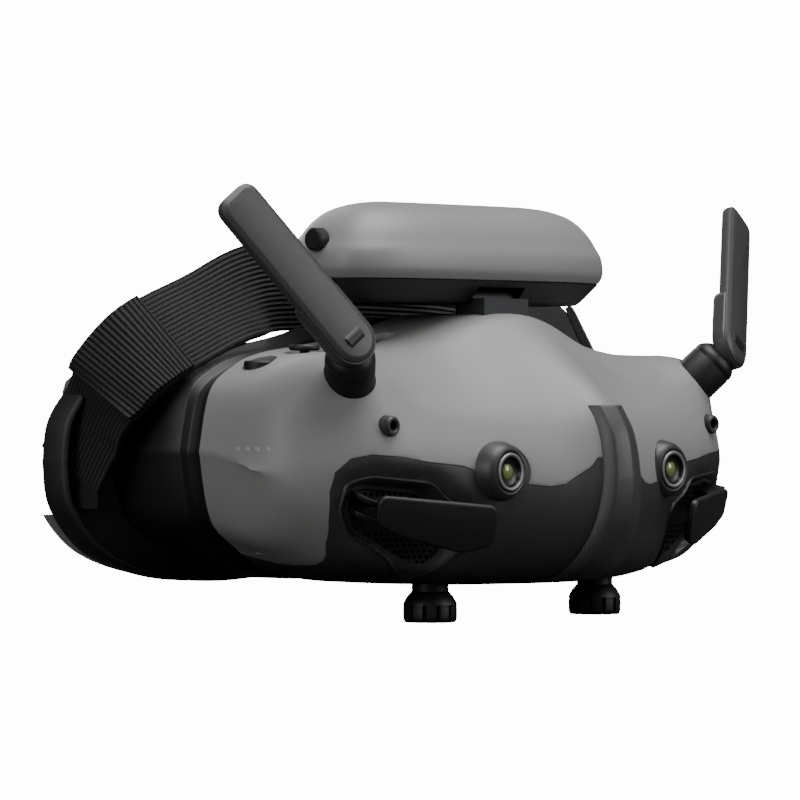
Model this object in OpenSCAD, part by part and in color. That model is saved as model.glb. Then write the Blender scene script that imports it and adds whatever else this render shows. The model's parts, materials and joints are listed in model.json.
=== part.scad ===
// Video goggles with two folding antennas, a forehead battery pod and an elastic headband.
// X runs across the face, -Y is the front of the goggles, +Z is up.
// The origin lies on the surface that the goggles stand on, on the mid plane.

/* [Housing] */
// Width of the housing, without the face frame
body_w = 176; // [150:1:210]
// Depth of the housing in front of the rear shell
body_d = 66; // [56:1:78]
// Height of the housing, block on top included
body_h = 71; // [60:1:84]
// Wall of the housing shells
wall = 2.2; // [1.8:0.1:2.8]

/* [Face frame] */
// Width of the face frame
frame_w = 202; // [182:1:236]
// Height of the face frame
frame_h = 62; // [54:1:74]
// How far the ends of the frame reach back round the face
frame_wrap = 16; // [12:1:20]

/* [Optics] */
// Distance between the two eyepieces
ipd = 66; // [60:1:72]
// Travel of each eyepiece to either side
ipd_travel = 4; // [2:0.5:4]
// Outer radius of a lens barrel
barrel_r = 18; // [15:0.5:18.5]
// Radius of an adjusting knob
knob_r = 6.95; // [5.5:0.05:8]
// Radius of a camera barrel
camera_r = 4.9; // [4.2:0.1:5.6]

/* [Antennas] */
// Length of a blade from its hinge to its tip
blade_len = 47; // [40:1:56]
// Width of a blade
blade_w = 12.7; // [11:0.1:15]
// Thickness of a blade
blade_t = 4.1; // [3.4:0.1:4.8]

/* [Pod] */
// Width of the battery pod
pod_w = 106; // [96:1:124]
// Depth of the battery pod
pod_d = 42; // [41:1:50]
// Height of the battery pod
pod_h = 26.4; // [26:0.2:32]

/* [Headband] */
// Width of the webbing
strap_w = 24; // [20:1:26]
// Thickness of the webbing
strap_t = 1.8; // [1.4:0.1:2.2]

/* [Hidden] */
$fn = 48;

light_grey = "#9a9a99";
dark_grey = "#4b4b4b";
black = "#1d1d1e";

// Height of the datum plane of the housing above the surface it stands on
datum_z = 57;
kx = body_w / 176;
ky = body_d / 66;
kz = body_h / 71;
rim_y = -11 * ky;
plate_y = rim_y + 25;

// A place on the housing, given at its standard size
function at(x, y, z) = [x * kx, y * ky, z * kz + datum_z];

// One half of the housing: stations across, each with eleven points [y, z] from the rim
// over the top to the belt line, and under the chin back to the rim.
station_x = [0, 14, 33, 52, 66, 75, 84, 88];
profile = [
    [[-11, 22.6], [-38, 22.6], [-47, 18.5], [-61, 8], [-73, -3], [-77, -16.5],
        [-76, -31], [-69, -42], [-58, -47], [-38, -47.5], [-11, -47.5]],
    [[-11, 21.8], [-36, 21.2], [-46, 15.5], [-58, 5], [-68, -7], [-72, -20.5],
        [-70.5, -33], [-65, -42], [-55, -47], [-36, -47.5], [-11, -47.5]],
    [[-11, 17], [-32, 15.5], [-43, 11], [-53, 3], [-61, -6], [-64.5, -17.5],
        [-63.5, -31], [-59, -41], [-50, -46.5], [-32, -47.5], [-11, -47.5]],
    [[-11, 14], [-30, 12.5], [-41, 10], [-49.5, 4], [-56, -5], [-59, -15.5],
        [-58, -30], [-54, -39], [-46, -44.5], [-30, -46], [-11, -46]],
    [[-11, 12], [-28, 12], [-40, 11.6], [-48.5, 6.6], [-52.8, -4], [-55, -15],
        [-53.5, -29], [-50, -37], [-42, -42.5], [-28, -43.5], [-11, -42.5]],
    [[-11, 9], [-25, 9.4], [-36, 9.6], [-44, 6], [-47, -5], [-49.5, -16.5],
        [-47.5, -27], [-43.5, -34], [-36, -38.5], [-25, -39.5], [-11, -37.5]],
    [[-11, 2.5], [-21, 2], [-28, 0.5], [-33.5, -3], [-37, -10], [-39, -18],
        [-38, -24], [-34.5, -28], [-29, -31], [-21, -32], [-11, -30]],
    [[-11, -13], [-16, -13.5], [-20, -14.5], [-24, -15.5], [-27, -16.5], [-29, -17.5],
        [-27, -16.5], [-24, -15.5], [-20, -14.5], [-16, -13.5], [-11, -13]]];
// Faces between two stations, and between two profile points
per_station = 3;
per_point = 2;

function smooth(a, b, c, d, t) =
    b + (c - a) * (t / 2) + (a - 2.5 * b + 2 * c - 0.5 * d) * (t * t)
    + (1.5 * b - 0.5 * a - 1.5 * c + 0.5 * d) * (t * t * t);
// The smooth curve through a list of points or rows, at position u
function along(list, u) =
    let (last = len(list) - 1, i = min(floor(u), last - 1))
    smooth(list[max(i - 1, 0)], list[i], list[i + 1], list[min(i + 2, last)], u - i);
function row(i, side) = [for (p = profile[i]) at(side * station_x[i], p[0], p[1])];
full_net = concat([for (i = [7:-1:1]) row(i, -1)], [for (i = [0:7]) row(i, 1)]);
columns = 14 * per_station;
rows = 10 * per_point;
// The outer surface of the housing, as rows of points
skin = [for (c = [0:columns]) let (r = along(full_net, c / per_station))
    [for (k = [0:rows]) along(r, k / per_point)]];
// The same surface moved inwards by t
mid_z = -13 * kz + datum_z;
function shrunk(p, t) = [
    p[0] * (1 - t / (88 * kx)),
    rim_y + (p[1] - rim_y) * (1 - t / (66 * ky)),
    mid_z + (p[2] - mid_z) * (1 - t / (35 * kz))];

function flat(lists) = [for (l = lists) for (p = l) p];

// A wall between the skin moved in by `outer` and by `inner`, over the cells that `has` keeps.
// A cell at either end meets the cell below the belt line that shares its edge.
module skin_cells(outer, inner, has) {
    n = rows + 1;
    base = (columns + 1) * n;
    points = concat(flat([for (c = skin) [for (p = c) shrunk(p, outer)]]),
        flat([for (c = skin) [for (p = c) shrunk(p, inner)]]));
    cells = [for (c = [0:columns - 1]) for (k = [0:rows - 1]) if (has(c, k)) [c, k]];
    kept = function(c, k) k >= 0 && k < rows
        && (c < 0 ? has(0, rows - 1 - k) : c >= columns ? has(columns - 1, rows - 1 - k) : has(c, k));
    edges = flat([for (e = cells) let (c = e[0], k = e[1], i = c * n + k) [
        if (!kept(c, k - 1)) [i + n, i],
        if (!kept(c, k + 1)) [i + 1, i + n + 1],
        if (!kept(c - 1, k)) [i, i + 1],
        if (!kept(c + 1, k)) [i + n + 1, i + n]]]);
    polyhedron(points, concat(
        flat([for (e = cells) let (i = e[0] * n + e[1], j = base + i) [
            [i, i + n + 1, i + 1], [i, i + n, i + n + 1],
            [j, j + 1, j + n + 1], [j, j + n + 1, j + n]]]),
        flat([for (e = edges) [[e[0], e[1], base + e[0]], [e[1], base + e[1], base + e[0]]]])));
}

// Extrudes an outline drawn in X and Z through the whole depth
module through(depth = 200) {
    translate([0, depth / 2, 0])
        rotate([90, 0, 0])
            linear_extrude(depth)
                children();
}
function front(points, side = 1) = [for (p = points) [side * p[0] * kx, p[1] * kz + datum_z]];

cam = at(32.8, -64.8, -18.2);
boss_r = camera_r + 3.4;

// Which cells of the skin are whose. Stations are counted from the middle.
half = columns / 2;
belt = rows / 2;
function station(c) = abs(c + 0.5 - half) / per_station;
function is_vent(c, k) = station(c) > 3 && station(c) < 5 && k > belt && k < belt + 5;
function is_panel(c, k) = k >= belt && (station(c) < 5 || k >= belt + 7);
function is_top(c, k) = !is_panel(c, k);
function is_lower(c, k) = is_panel(c, k) && !is_vent(c, k);
function is_strip(c, k) = station(c) < 1.2 && k > 5 && k < rows - 3;

// Draws on a flat plane across a vent, X outwards along the plate and Z up, seen from the front
module vent_plane(side, depth) {
    on_side(-side)
        translate(at(53.5, -58.4, -31))
            rotate([0, 0, 17])
                rotate([13, 0, 0])
                    translate([0, depth, 0])
                        children();
}
module plate(t) {
    rotate([90, 0, 0])
        linear_extrude(t)
            children();
}

// Antenna axes, for the antenna at the wearer's right; the other is its mirror image
function unit(v) = v / norm(v);
blade_dir = unit([-0.525, 0.379, 0.763]);
blade_face = unit([-0.292, -0.92, 0.256]);
hinge_dir = unit(cross(blade_dir, blade_face));
blade_up = cross(hinge_dir, blade_dir);
stub_dir = unit([-0.52, -0.50, 0.69]);
socket_r = 6.4;
stub_len = 9.8;
hinge_at = at(-76.5, -52.4, 15.1);
pin_r = 0.9;
knuckle_r = 2.6;
knuckle_w = 5;
// How far an antenna folds, in degrees
fold = 50;

module toward(dir) {
    a = acos(dir[2]);
    b = atan2(dir[1], dir[0]);
    rotate([0, 0, b])
        rotate([0, a, 0])
            children();
}
// Draws in the blade's own axes: X across the blade, Y to its tip, Z out of its front face
module blade_frame() {
    multmatrix([
        [hinge_dir[0], blade_dir[0], blade_up[0], hinge_at[0]],
        [hinge_dir[1], blade_dir[1], blade_up[1], hinge_at[1]],
        [hinge_dir[2], blade_dir[2], blade_up[2], hinge_at[2]],
        [0, 0, 0, 1]])
        children();
}
module on_side(side) {
    mirror([side > 0 ? 1 : 0, 0, 0])
        children();
}

// Lenses, rods and knobs
eye_z = -15 * kz + datum_z;
rod_y = -32;
rod_top = 5 * kz + datum_z;
rod_low = -40 * kz + datum_z;
rod_r = 1.25;
running = 0.05;
foot_w = 12;
knob_y = -40.1;
knob_top = -49 * kz + datum_z;
shaft_r = 2;
eye_x = ipd / 2;
lens_y = 9;

module top_shell() {
    color(light_grey)
        difference() {
            skin_cells(0, wall, function(c, k) is_top(c, k));
            for (side = [-1, 1]) {
                translate([side * cam[0], cam[1] - 10, cam[2]])
                    rotate([-90, 0, 0])
                        cylinder(h = 25, r = boss_r + 0.1);
                on_side(side)
                    translate(hinge_at)
                        toward(stub_dir)
                            translate([0, 0, -stub_len - 9])
                                cylinder(h = stub_len + 9, r = socket_r + 0.1);
                grille_place(side)
                    grille_shape(0.1, 12);
                translate(at(side * 64.3, -60, -6.5))
                    rotate([-90, 0, 0])
                        cylinder(h = 12, r = 2.55);
            }
            for (i = [0:3])
                translate(at(-96, -24 - 3 * i, -12.5))
                    rotate([0, 90, 0])
                        cylinder(h = 30, r = 0.85);
            bracket_foot(0.02);
            translate(stick_at)
                cylinder(h = 12, r = 4.9, center = true);
            translate(button_at)
                cylinder(h = 14, r = 4.5, center = true);
        }
}
stick_at = at(-63, -24, 11.5);
button_at = at(-73.9, -19, 9);

module grille_place(side) {
    translate(at(side * 45, -24, 13.2))
        on_side(-side)
            rotate([0, 10, -5])
                children();
}
module grille_shape(gap, h) {
    translate([-13, -3.2, -h / 2] - [gap, gap, 0])
        cube([26 + 2 * gap, 6.4 + 2 * gap, h]);
    for (d = [-13, 13])
        translate([d, 0, -h / 2])
            cylinder(h = h, r = 3.2 + gap);
}

module front_panel() {
    color(dark_grey)
        difference() {
            union() {
                skin_cells(0, wall, function(c, k) is_lower(c, k));
                for (side = [-1, 1])
                    translate([side * cam[0], cam[1] - 2.2, cam[2]])
                        rotate([-90, 0, 0])
                            cylinder(h = 8, r1 = camera_r + 1, r2 = boss_r);
            }
            for (side = [-1, 1]) {
                translate([side * cam[0], cam[1] - 10, cam[2]])
                    rotate([-90, 0, 0])
                        cylinder(h = 25, r = camera_r + 0.05);
                for (d = [-ipd_travel, ipd_travel])
                    translate([side * eye_x + d, knob_y, -48 * kz + datum_z])
                        cylinder(h = 20, r = shaft_r + 0.4, center = true);
                translate([side * eye_x, knob_y, -48 * kz + datum_z])
                    cube([2 * ipd_travel, 2 * shaft_r + 0.8, 20], center = true);
            }
            translate(port_at)
                linear_extrude(20, center = true)
                    stadium(9.1, 3.3);
            translate(card_at)
                cube([3.1, 13.1, 20], center = true);
        }
}
port_at = at(-74, -22, -38);
card_at = at(74, -22, -38);

module stadium(w, t) {
    square([t, w - t], center = true);
    for (d = [-1, 1])
        translate([0, d * (w - t) / 2])
            circle(d = t);
}

// The rim of the housing as one closed loop, and the outline of the face frame beside it
rim = concat([for (c = [0:columns]) skin[c][0]],
    [for (c = [columns - 1:-1:1]) skin[c][rows]]);
frame_top = [[0, 15], [16, 15], [38, 15], [60, 15], [78, 13.5], [92, 7], [99.5, -4], [101, -16]];
frame_low = [[0, -43], [16, -44.5], [38, -46.5], [60, -47], [78, -45.5], [92, -39.5], [99.5, -28],
    [101, -16]];
function frame_point(p, side) = [side * p[0] * frame_w / 202, 0,
    (p[1] + 16) * frame_h / 62 - 16 + datum_z];
function frame_half(points) =
    let (full = concat([for (i = [7:-1:1]) frame_point(points[i], -1)],
        [for (i = [0:7]) frame_point(points[i], 1)]))
    [for (c = [0:columns]) along(full, c / per_station)];
upper = frame_half(frame_top);
lower = frame_half(frame_low);
frame_loop = concat(upper, [for (c = [columns - 1:-1:1]) lower[c]]);
frame_y = plate_y + 1;
// Where the frame starts to bend back round the face
bend_x = frame_w * 0.3;
function wrap_y(x) =
    frame_y + frame_wrap * pow(max(0, abs(x) - bend_x) / (frame_w / 2 - bend_x), 2);
function wrapped(ring, off) = [for (q = ring) [q[0], wrap_y(q[0]) + off, q[2]]];
function rim_ring(t, y) = [for (p = rim) let (q = shrunk(p, t)) [q[0], y, q[2]]];

// A closed tube whose wall passes through the rings in order
module ring_wall(rings) {
    n = len(rings[0]);
    m = len(rings);
    polyhedron(flat(rings), flat([for (j = [0:m - 1]) for (i = [0:n - 1])
        let (a = j * n, b = ((j + 1) % m) * n, k = (i + 1) % n)
        [[a + i, b + k, a + k], [a + i, b + i, b + k]]]), convexity = 6);
}

module rear_shell() {
    color(black)
        ring_wall([rim_ring(1.4, rim_y + 0.1), rim_ring(1.4, rim_y + 3), rim_ring(2.6, rim_y + 3.6),
            rim_ring(2.6, rim_y + 7), rim_ring(1, rim_y + 8), wrapped(rim_ring(0.4, 0), -0.4),
            wrapped(rim_ring(3, 0), -0.4), rim_ring(5, rim_y + 0.1)]);
}

module lens_plate() {
    color(black)
        difference() {
            translate([0, plate_y - 2.4, 0])
                rotate([90, 0, 0])
                    linear_extrude(2)
                        polygon([for (p = rim_ring(5.4, 0)) [p[0], p[2]]]);
            for (side = [-1, 1])
                translate([side * eye_x, plate_y, eye_z])
                    rotate([90, 0, 0]) {
                        for (d = [-ipd_travel, ipd_travel])
                            translate([d, 0, -1])
                                cylinder(h = 8, r = barrel_r + 0.6);
                        translate([-ipd_travel, -barrel_r - 0.6, -1])
                            cube([2 * ipd_travel, 2 * barrel_r + 1.2, 8]);
                    }
            for (p = screw_places)
                translate([p[0], plate_y - 5.4, p[2]])
                    rotate([-90, 0, 0])
                        cylinder(h = 6, r = 1.25);
        }
}
screw_places = [for (side = [-1, 1], z = [-33, 5]) at(side * 68, 0, z)];
module lens_screws() {
    color("silver")
        for (p = screw_places)
            translate([p[0], plate_y - 5.4, p[2]])
                rotate([-90, 0, 0]) {
                    cylinder(h = 3, r = 1.2);
                    translate([0, 0, 3])
                        cylinder(h = 1, r = 2.3);
                }
}

module bridge_strip() {
    color(dark_grey)
        intersection() {
            skin_cells(-3.2, -0.05, function(c, k) is_strip(c, k));
            through()
                polygon(front([[-5.5, -1], [5.5, -1], [6.5, -20], [9.5, -38], [9.5, -47], [-9.5, -47],
                    [-9.5, -38], [-6.5, -20]]));
        }
}

slot_x = frame_w / 2 - 6.5;
slot_z = -16 * kz + datum_z;
// A slab through the full height that follows the bend of the frame, between two depths
module bent_slab(low, high) {
    step = frame_w / 28;
    xs = [for (i = [-15:15]) i * step];
    linear_extrude(2 * datum_z)
        polygon(concat([for (x = xs) [x, wrap_y(x) + low]],
            [for (i = [len(xs) - 1:-1:0]) [xs[i], wrap_y(xs[i]) + high]]));
}
module outline(ring) {
    polygon([for (p = ring) [p[0], p[2]]]);
}
// Open at the top, so that the band hooks in, and outwards too by a width when that is given
module strap_slot(w, low, out = 0) {
    tall = low + strap_w / 2 + 14;
    for (side = [-1, 1])
        translate([side * (slot_x + out / 2), frame_y + frame_wrap, slot_z - low + tall / 2])
            cube([w + out, 60, tall], center = true);
}
module face_frame() {
    color("#2b2b2c")
        difference() {
            union() {
                intersection() {
                    bent_slab(0, 2.4);
                    through()
                        difference() {
                            union() {
                                outline(frame_loop);
                                outline(rim_ring(0.4, 0));
                            }
                            offset(delta = -5)
                                intersection() {
                                    outline(frame_loop);
                                    outline(rim_ring(0.4, 0));
                                }
                        }
                }
                intersection() {
                    bent_slab(-6, 0.5);
                    through()
                        difference() {
                            outline(frame_loop);
                            offset(delta = -1.4)
                                outline(frame_loop);
                            outline(rim_ring(-0.8, 0));
                        }
                }
            }
            strap_slot(4.6, strap_w / 2 + 1);
        }
}
// The frame's outline drawn in by tx at the sides and tz above and below, behind the frame
function seal_ring(tx, tz, off) = [for (p = frame_loop)
    let (x = p[0] * (1 - tx / (frame_w / 2)), mid = datum_z - 16)
    [x, wrap_y(x) + off, mid + (p[2] - mid) * (1 - tz / (frame_h / 2))]];
module face_seal() {
    color("#8c8c8c")
        difference() {
            ring_wall([seal_ring(14, 4.4, 3.2), seal_ring(2.5, 1.4, 3), seal_ring(1.6, 0.8, 4.2),
                seal_ring(1.6, 0.8, 8), seal_ring(4, 2.2, 10.5), seal_ring(10, 3.6, 11.6),
                seal_ring(15, 4.6, 10), seal_ring(16, 5, 6)]);
            strap_slot(6.6, strap_w / 2 + 1.5, 10);
        }
}

module camera(side) {
    color("#b5b5b3")
        translate([side * cam[0], cam[1] - 2.8, cam[2]])
            rotate([-90, 0, 0])
                difference() {
                    cylinder(h = 15, r = camera_r);
                    translate([0, 0, -1])
                        cylinder(h = 3, r = camera_r - 1.1);
                }
}
module camera_lens(side) {
    color("#23301c")
        translate([side * cam[0], cam[1] - 0.8, cam[2]])
            rotate([90, 0, 0])
                intersection() {
                    cylinder(h = 1.6, r = camera_r - 1.15);
                    translate([0, 0, -6.4])
                        sphere(r = 8);
                }
}

module front_posts() {
    color(dark_grey)
        for (side = [-1, 1])
            translate(at(side * 64.3, -56, -6.5))
                rotate([-90, 0, 0])
                    difference() {
                        cylinder(h = 6, r = 2.5);
                        translate([0, 0, -1])
                            cylinder(h = 2.6, r = 1.2);
                    }
}

module vent_cover(side) {
    color(black)
        vent_plane(side, -2.6) {
            plate(2)
                polygon([[-15.5, 4], [15.5, 6], [17, 4.5], [17, -1.5], [10, -4.5], [-7.5, -8.5],
                    [-15.5, -6.5], [-16.5, -1]]);
            for (z = [-2, 2.5])
                translate([17, 5.5, z])
                    rotate([90, 0, 0])
                        linear_extrude(7.5)
                            polygon([[-3, 0], [0, 0], [5.8, 2.2], [5.8, 4.2], [0, 2.6], [-3, 2.4]]);
        }
}
module vent_mesh(side) {
    color(black)
        vent_plane(side, 8)
            plate(1.2)
                difference() {
                    polygon([[-5, 13], [20, 11.5], [20, -3], [1, -11], [-5, -11]]);
                    for (i = [0:7], j = [0:2])
                        translate([-3 + 3 * i, 9 - 3 * j])
                            circle(r = 1, $fn = 24);
                    for (i = [0:3], j = [0:1])
                        translate([-3.4 + 4.4 * i, -6 - 2.6 * j + 1.2 * i])
                            square([3, 1.3]);
                }
}

fan_r = 11;
fan_t = 6;
module fan_place(side) {
    translate(at(side * 56, -36, -26))
        rotate([90, 0, 0])
            children();
}
module fan_frame(side) {
    color("#2a2a2a")
        fan_place(side) {
            difference() {
                translate([-12, -12, 0])
                    cube([24, 24, fan_t]);
                translate([0, 0, -1])
                    cylinder(h = fan_t + 2, r = fan_r);
            }
            difference() {
                union() {
                    translate([-fan_r - 0.5, -1, 0])
                        cube([2 * fan_r + 1, 2, 0.8]);
                    cylinder(h = 0.8, r = 3.6);
                }
                translate([0, 0, -1])
                    cylinder(h = 3, r = 0.8 + running);
            }
        }
}
module fan_rotor(side) {
    color("#3a3a3a")
        fan_place(side) {
            translate([0, 0, 1.1])
                cylinder(h = fan_t - 1.6, r = 4);
            translate([0, 0, 0.1])
                cylinder(h = 1.2, r = 0.8);
            for (k = [0:6])
                rotate([0, 0, k * 360 / 7])
                    translate([3.6, 0, fan_t / 2 + 0.3])
                        rotate([35, 0, 0])
                            translate([0, -0.4, -2])
                                cube([fan_r - 0.6 - 3.6, 0.8, 4]);
        }
}

module top_grille(side) {
    color(black)
        grille_place(side)
            difference() {
                translate([0, 0, -0.9])
                    grille_shape(0, 1.2);
                for (i = [-4:4], j = [-1, 1])
                    translate([3.1 * i - 1.1, 1.3 * j - 0.55, -4])
                        cube([2.2, 1.1, 8]);
            }
}

module antenna_socket(side) {
    color(dark_grey)
        on_side(side)
            difference() {
                union() {
                    translate(hinge_at)
                        toward(stub_dir) {
                            translate([0, 0, -stub_len - 7])
                                cylinder(h = stub_len, r = socket_r);
                            translate([0, 0, -7])
                                cylinder(h = 4, r1 = socket_r, r2 = knuckle_r);
                        }
                    blade_frame()
                        rotate([0, 90, 0])
                            cylinder(h = knuckle_w, r = knuckle_r, center = true);
                    translate(hinge_at)
                        toward(stub_dir)
                            translate([0, 0, -4])
                                cylinder(h = 4, r = 2);
                }
                blade_frame()
                    rotate([0, 90, 0])
                        cylinder(h = 20, r = pin_r + running, center = true);
            }
}
module antenna_pin(side) {
    color("silver")
        on_side(side)
            blade_frame()
                rotate([0, 90, 0])
                    cylinder(h = blade_w - 1.6, r = pin_r, center = true);
}
module antenna_blade(side) {
    color(dark_grey)
        on_side(side)
            difference() {
                blade_frame()
                    difference() {
                        union() {
                            translate([0, 0, -blade_t / 2])
                                linear_extrude(blade_t)
                                    blade_shape();
                            translate([0, 0, -blade_t / 2 - 0.9])
                                linear_extrude(blade_t)
                                    hump_shape();
                        }
                        translate([-knuckle_w / 2 - 0.3, -knuckle_r - 0.6 - 6, -9])
                            cube([knuckle_w + 0.6, 2 * knuckle_r + 1.2 + 6, 9 + knuckle_r - 1]);
                        rotate([0, 90, 0])
                            cylinder(h = knuckle_w + 0.6, r = knuckle_r + 0.3, center = true);
                        rotate([0, 90, 0])
                            cylinder(h = blade_w - 1.4, r = pin_r + running, center = true);
                    }
                blade_frame()
                    fold_room();
            }
}
// A place on the stub, out along it and across it, once the blade has folded by an angle
function on_stub(out, across, folded) = let (
    turn = atan2(-stub_dir * blade_up, -stub_dir * blade_dir) + folded)
    [out * cos(turn) - across * sin(turn), out * sin(turn) + across * cos(turn)];
// The room the stub sweeps in the blade's root as the blade folds
module fold_room() {
    wide = socket_r + 0.5;
    narrow = knuckle_r + 0.4;
    near = 2.6;
    far = 17;
    rotate([90, 0, 90])
        linear_extrude(blade_w + 2, center = true)
            polygon([on_stub(far, -wide, 0), on_stub(7, -wide, 0), on_stub(near, -narrow, 0),
                on_stub(near - 0.2, 0, 0), on_stub(near - 0.2, 0, fold / 2),
                on_stub(near - 0.2, 0, fold), on_stub(near, narrow, fold),
                on_stub(7, wide, fold), on_stub(far, wide, fold)]);
}
module blade_shape() {
    corner = 3;
    circle(r = blade_w / 2);
    translate([-blade_w / 2, 0])
        square([blade_w, blade_len - corner]);
    translate([-blade_w / 2 + corner, 0])
        square([blade_w - 2 * corner, blade_len]);
    for (d = [-1, 1])
        translate([d * (blade_w / 2 - corner), blade_len - corner])
            circle(r = corner);
}
module hump_shape() {
    circle(r = blade_w / 2 - 0.4);
    translate([-blade_w / 2 + 0.4, 0])
        square([blade_w - 0.8, 13]);
}

module battery_lights() {
    color("#d7d7d5")
        for (i = [0:3])
            translate(at(-86.4 + 0.5 * i, -24 - 3 * i, -12.5))
                rotate([0, 90, 0])
                    cylinder(h = 1.8, r = 0.8);
}

module joystick() {
    color(black)
        translate(stick_at) {
            translate([0, 0, 1.2])
                cylinder(h = 1.4, r = 3.9);
            translate([0, 0, -3.2])
                cylinder(h = 4.6, r = 1.2);
            rotate([90, 0, 0])
                translate([0, -4, 0])
                    cylinder(h = 7.6, r = 0.6, center = true);
            translate([0, 0, -4])
                sphere(r = 1.6);
        }
}
module joystick_ring() {
    color("silver")
        translate([stick_at[0], stick_at[1], stick_at[2] - 4])
            difference() {
                union() {
                    cylinder(h = 2, r = 4, center = true);
                    rotate([0, 90, 0])
                        cylinder(h = 11, r = 0.6, center = true);
                }
                cylinder(h = 4, r = 3, center = true);
                rotate([90, 0, 0])
                    cylinder(h = 12, r = 0.6 + running, center = true);
            }
}
module joystick_base() {
    color(black)
        translate([stick_at[0], stick_at[1], stick_at[2] - 4])
            difference() {
                translate([-6.1, -5.6, -3.4])
                    cube([12.2, 11.2, 4.4]);
                translate([-4.9, -6, -2.4])
                    cube([9.8, 12, 6]);
                rotate([0, 90, 0])
                    cylinder(h = 20, r = 0.6 + running, center = true);
            }
}
module back_button() {
    color(black)
        translate(button_at) {
            translate([0, 0, -3])
                cylinder(h = 4, r = 4.35);
            translate([0, 0, -4.6])
                cylinder(h = 1.7, r = 1.2);
        }
}

module usb_port() {
    color("silver")
        translate([port_at[0], port_at[1], port_at[2] - 1]) {
            linear_extrude(6.5)
                difference() {
                    stadium(8.9, 3.1);
                    stadium(8.3, 2.5);
                }
            translate([-0.35, -3.3, 1])
                cube([0.7, 6.6, 5.5]);
            translate([-1.5, -3.3, 6.3])
                cube([3, 6.6, 0.8]);
        }
}
module card_slot() {
    color("silver")
        translate([card_at[0], card_at[1], card_at[2] + 4])
            difference() {
                cube([2.9, 12.9, 12], center = true);
                translate([0, 0, -2])
                    cube([1.3, 11.3, 12], center = true);
            }
}

board_z = 3 * kz + eye_z + barrel_r;
module main_board() {
    color("#1f4a2b")
        translate([-55, -27, board_z])
            cube([110, 34, 1.6]);
}
module chip_shield() {
    color("silver")
        translate([-21, -22, board_z + 1.6])
            cube([42, 24, 2]);
}
module heat_sink() {
    color("#7d7f82")
        translate(at(0, -58, -30)) {
            translate([-9, 0, 0])
                cube([18, 3, 34]);
            for (i = [0:6])
                translate([-9 + 2.8 * i, 3, 0])
                    cube([1.2, 8, 34]);
        }
}

mount_x = 53.5;
module rod_mounts() {
    color("#333436")
        difference() {
            for (x = [-mount_x - eye_x + 33, 0, mount_x + eye_x - 33])
                translate([x, rod_y, 0])
                    for (z = [rod_low, rod_top])
                        translate([0, 0, z])
                            cube([5, 6, 4.4], center = true);
            rods(0);
        }
}
module rods(gap) {
    for (z = [rod_low, rod_top])
        translate([0, rod_y, z])
            rotate([0, 90, 0])
                cylinder(h = 2 * (mount_x + eye_x - 33) + 4.8, r = rod_r + gap, center = true);
}
module guide_rods() {
    color("silver")
        rods(0);
}

// The carriage rides on both rods and holds the display, the barrel and the knob
carriage_w = 26;
module carriage(side) {
    color("#3c3d40")
        translate([side * eye_x, 0, 0])
            difference() {
                union() {
                    translate([-carriage_w / 2, rod_y - 2, rod_low - 3])
                        cube([carriage_w, 4, rod_top - rod_low + 6]);
                    translate([-foot_w / 2, knob_y - 3.6, rod_low - 2.4])
                        cube([foot_w, rod_y - knob_y + 3, 4.8]);
                }
                translate([-side * eye_x, 0, 0])
                    rods(running);
                translate([0, knob_y, rod_low - 5])
                    cylinder(h = 12, r = shaft_r + running);
                translate([0, rod_y, eye_z])
                    rotate([90, 0, 0])
                        cylinder(h = 10, r = 8, center = true);
            }
}
module display(side) {
    color("#10131a")
        translate([side * eye_x, rod_y + 2, eye_z])
            translate([-13, 0, -10])
                cube([26, 1.4, 20]);
}
barrel_y = rod_y + 3.4;
module barrel(side) {
    color(black)
        translate([side * eye_x, barrel_y, eye_z])
            rotate([-90, 0, 0])
                difference() {
                    cylinder(h = plate_y + 2 - barrel_y, r = barrel_r);
                    translate([0, 0, 1.2])
                        cylinder(h = 80, r = barrel_r - 1.5);
                    translate([0, 0, -1])
                        cylinder(h = 4, r = 12);
                }
}
module eyepiece(side) {
    r = barrel_r - 1.5 - running;
    sag = 3;
    bow = (r * r + sag * sag) / (2 * sag);
    color("#9fb3bd")
        translate([side * eye_x, lens_y, eye_z])
            rotate([-90, 0, 0])
                rotate_extrude($fn = 96)
                    polygon(concat([[0, -1 - sag]],
                        [for (k = [1:9]) let (x = r * k / 9)
                            [x, bow - sag - 1 - sqrt(bow * bow - x * x)]],
                        [for (k = [9:-1:0]) let (x = r * k / 9)
                            [x, 1 + sqrt(bow * bow - x * x) - bow + sag]]));
}
module knob(side) {
    neck = knob_r * 0.68;
    color(black)
        translate([side * eye_x, knob_y, 0]) {
            difference() {
                union() {
                    cylinder(h = knob_top - 6, r = knob_r);
                    translate([0, 0, knob_top - 6])
                        cylinder(h = 3.4, r1 = knob_r, r2 = neck);
                    translate([0, 0, knob_top - 2.7])
                        cylinder(h = 2.7, r = neck);
                }
                for (k = [0:11])
                    rotate([0, 0, k * 30])
                        translate([knob_r, 0, -1])
                            cylinder(h = knob_top - 6.4, r = 0.9);
            }
            translate([0, 0, knob_top - 0.01])
                cylinder(h = rod_low + 2 - knob_top, r = shaft_r);
        }
}

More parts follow.
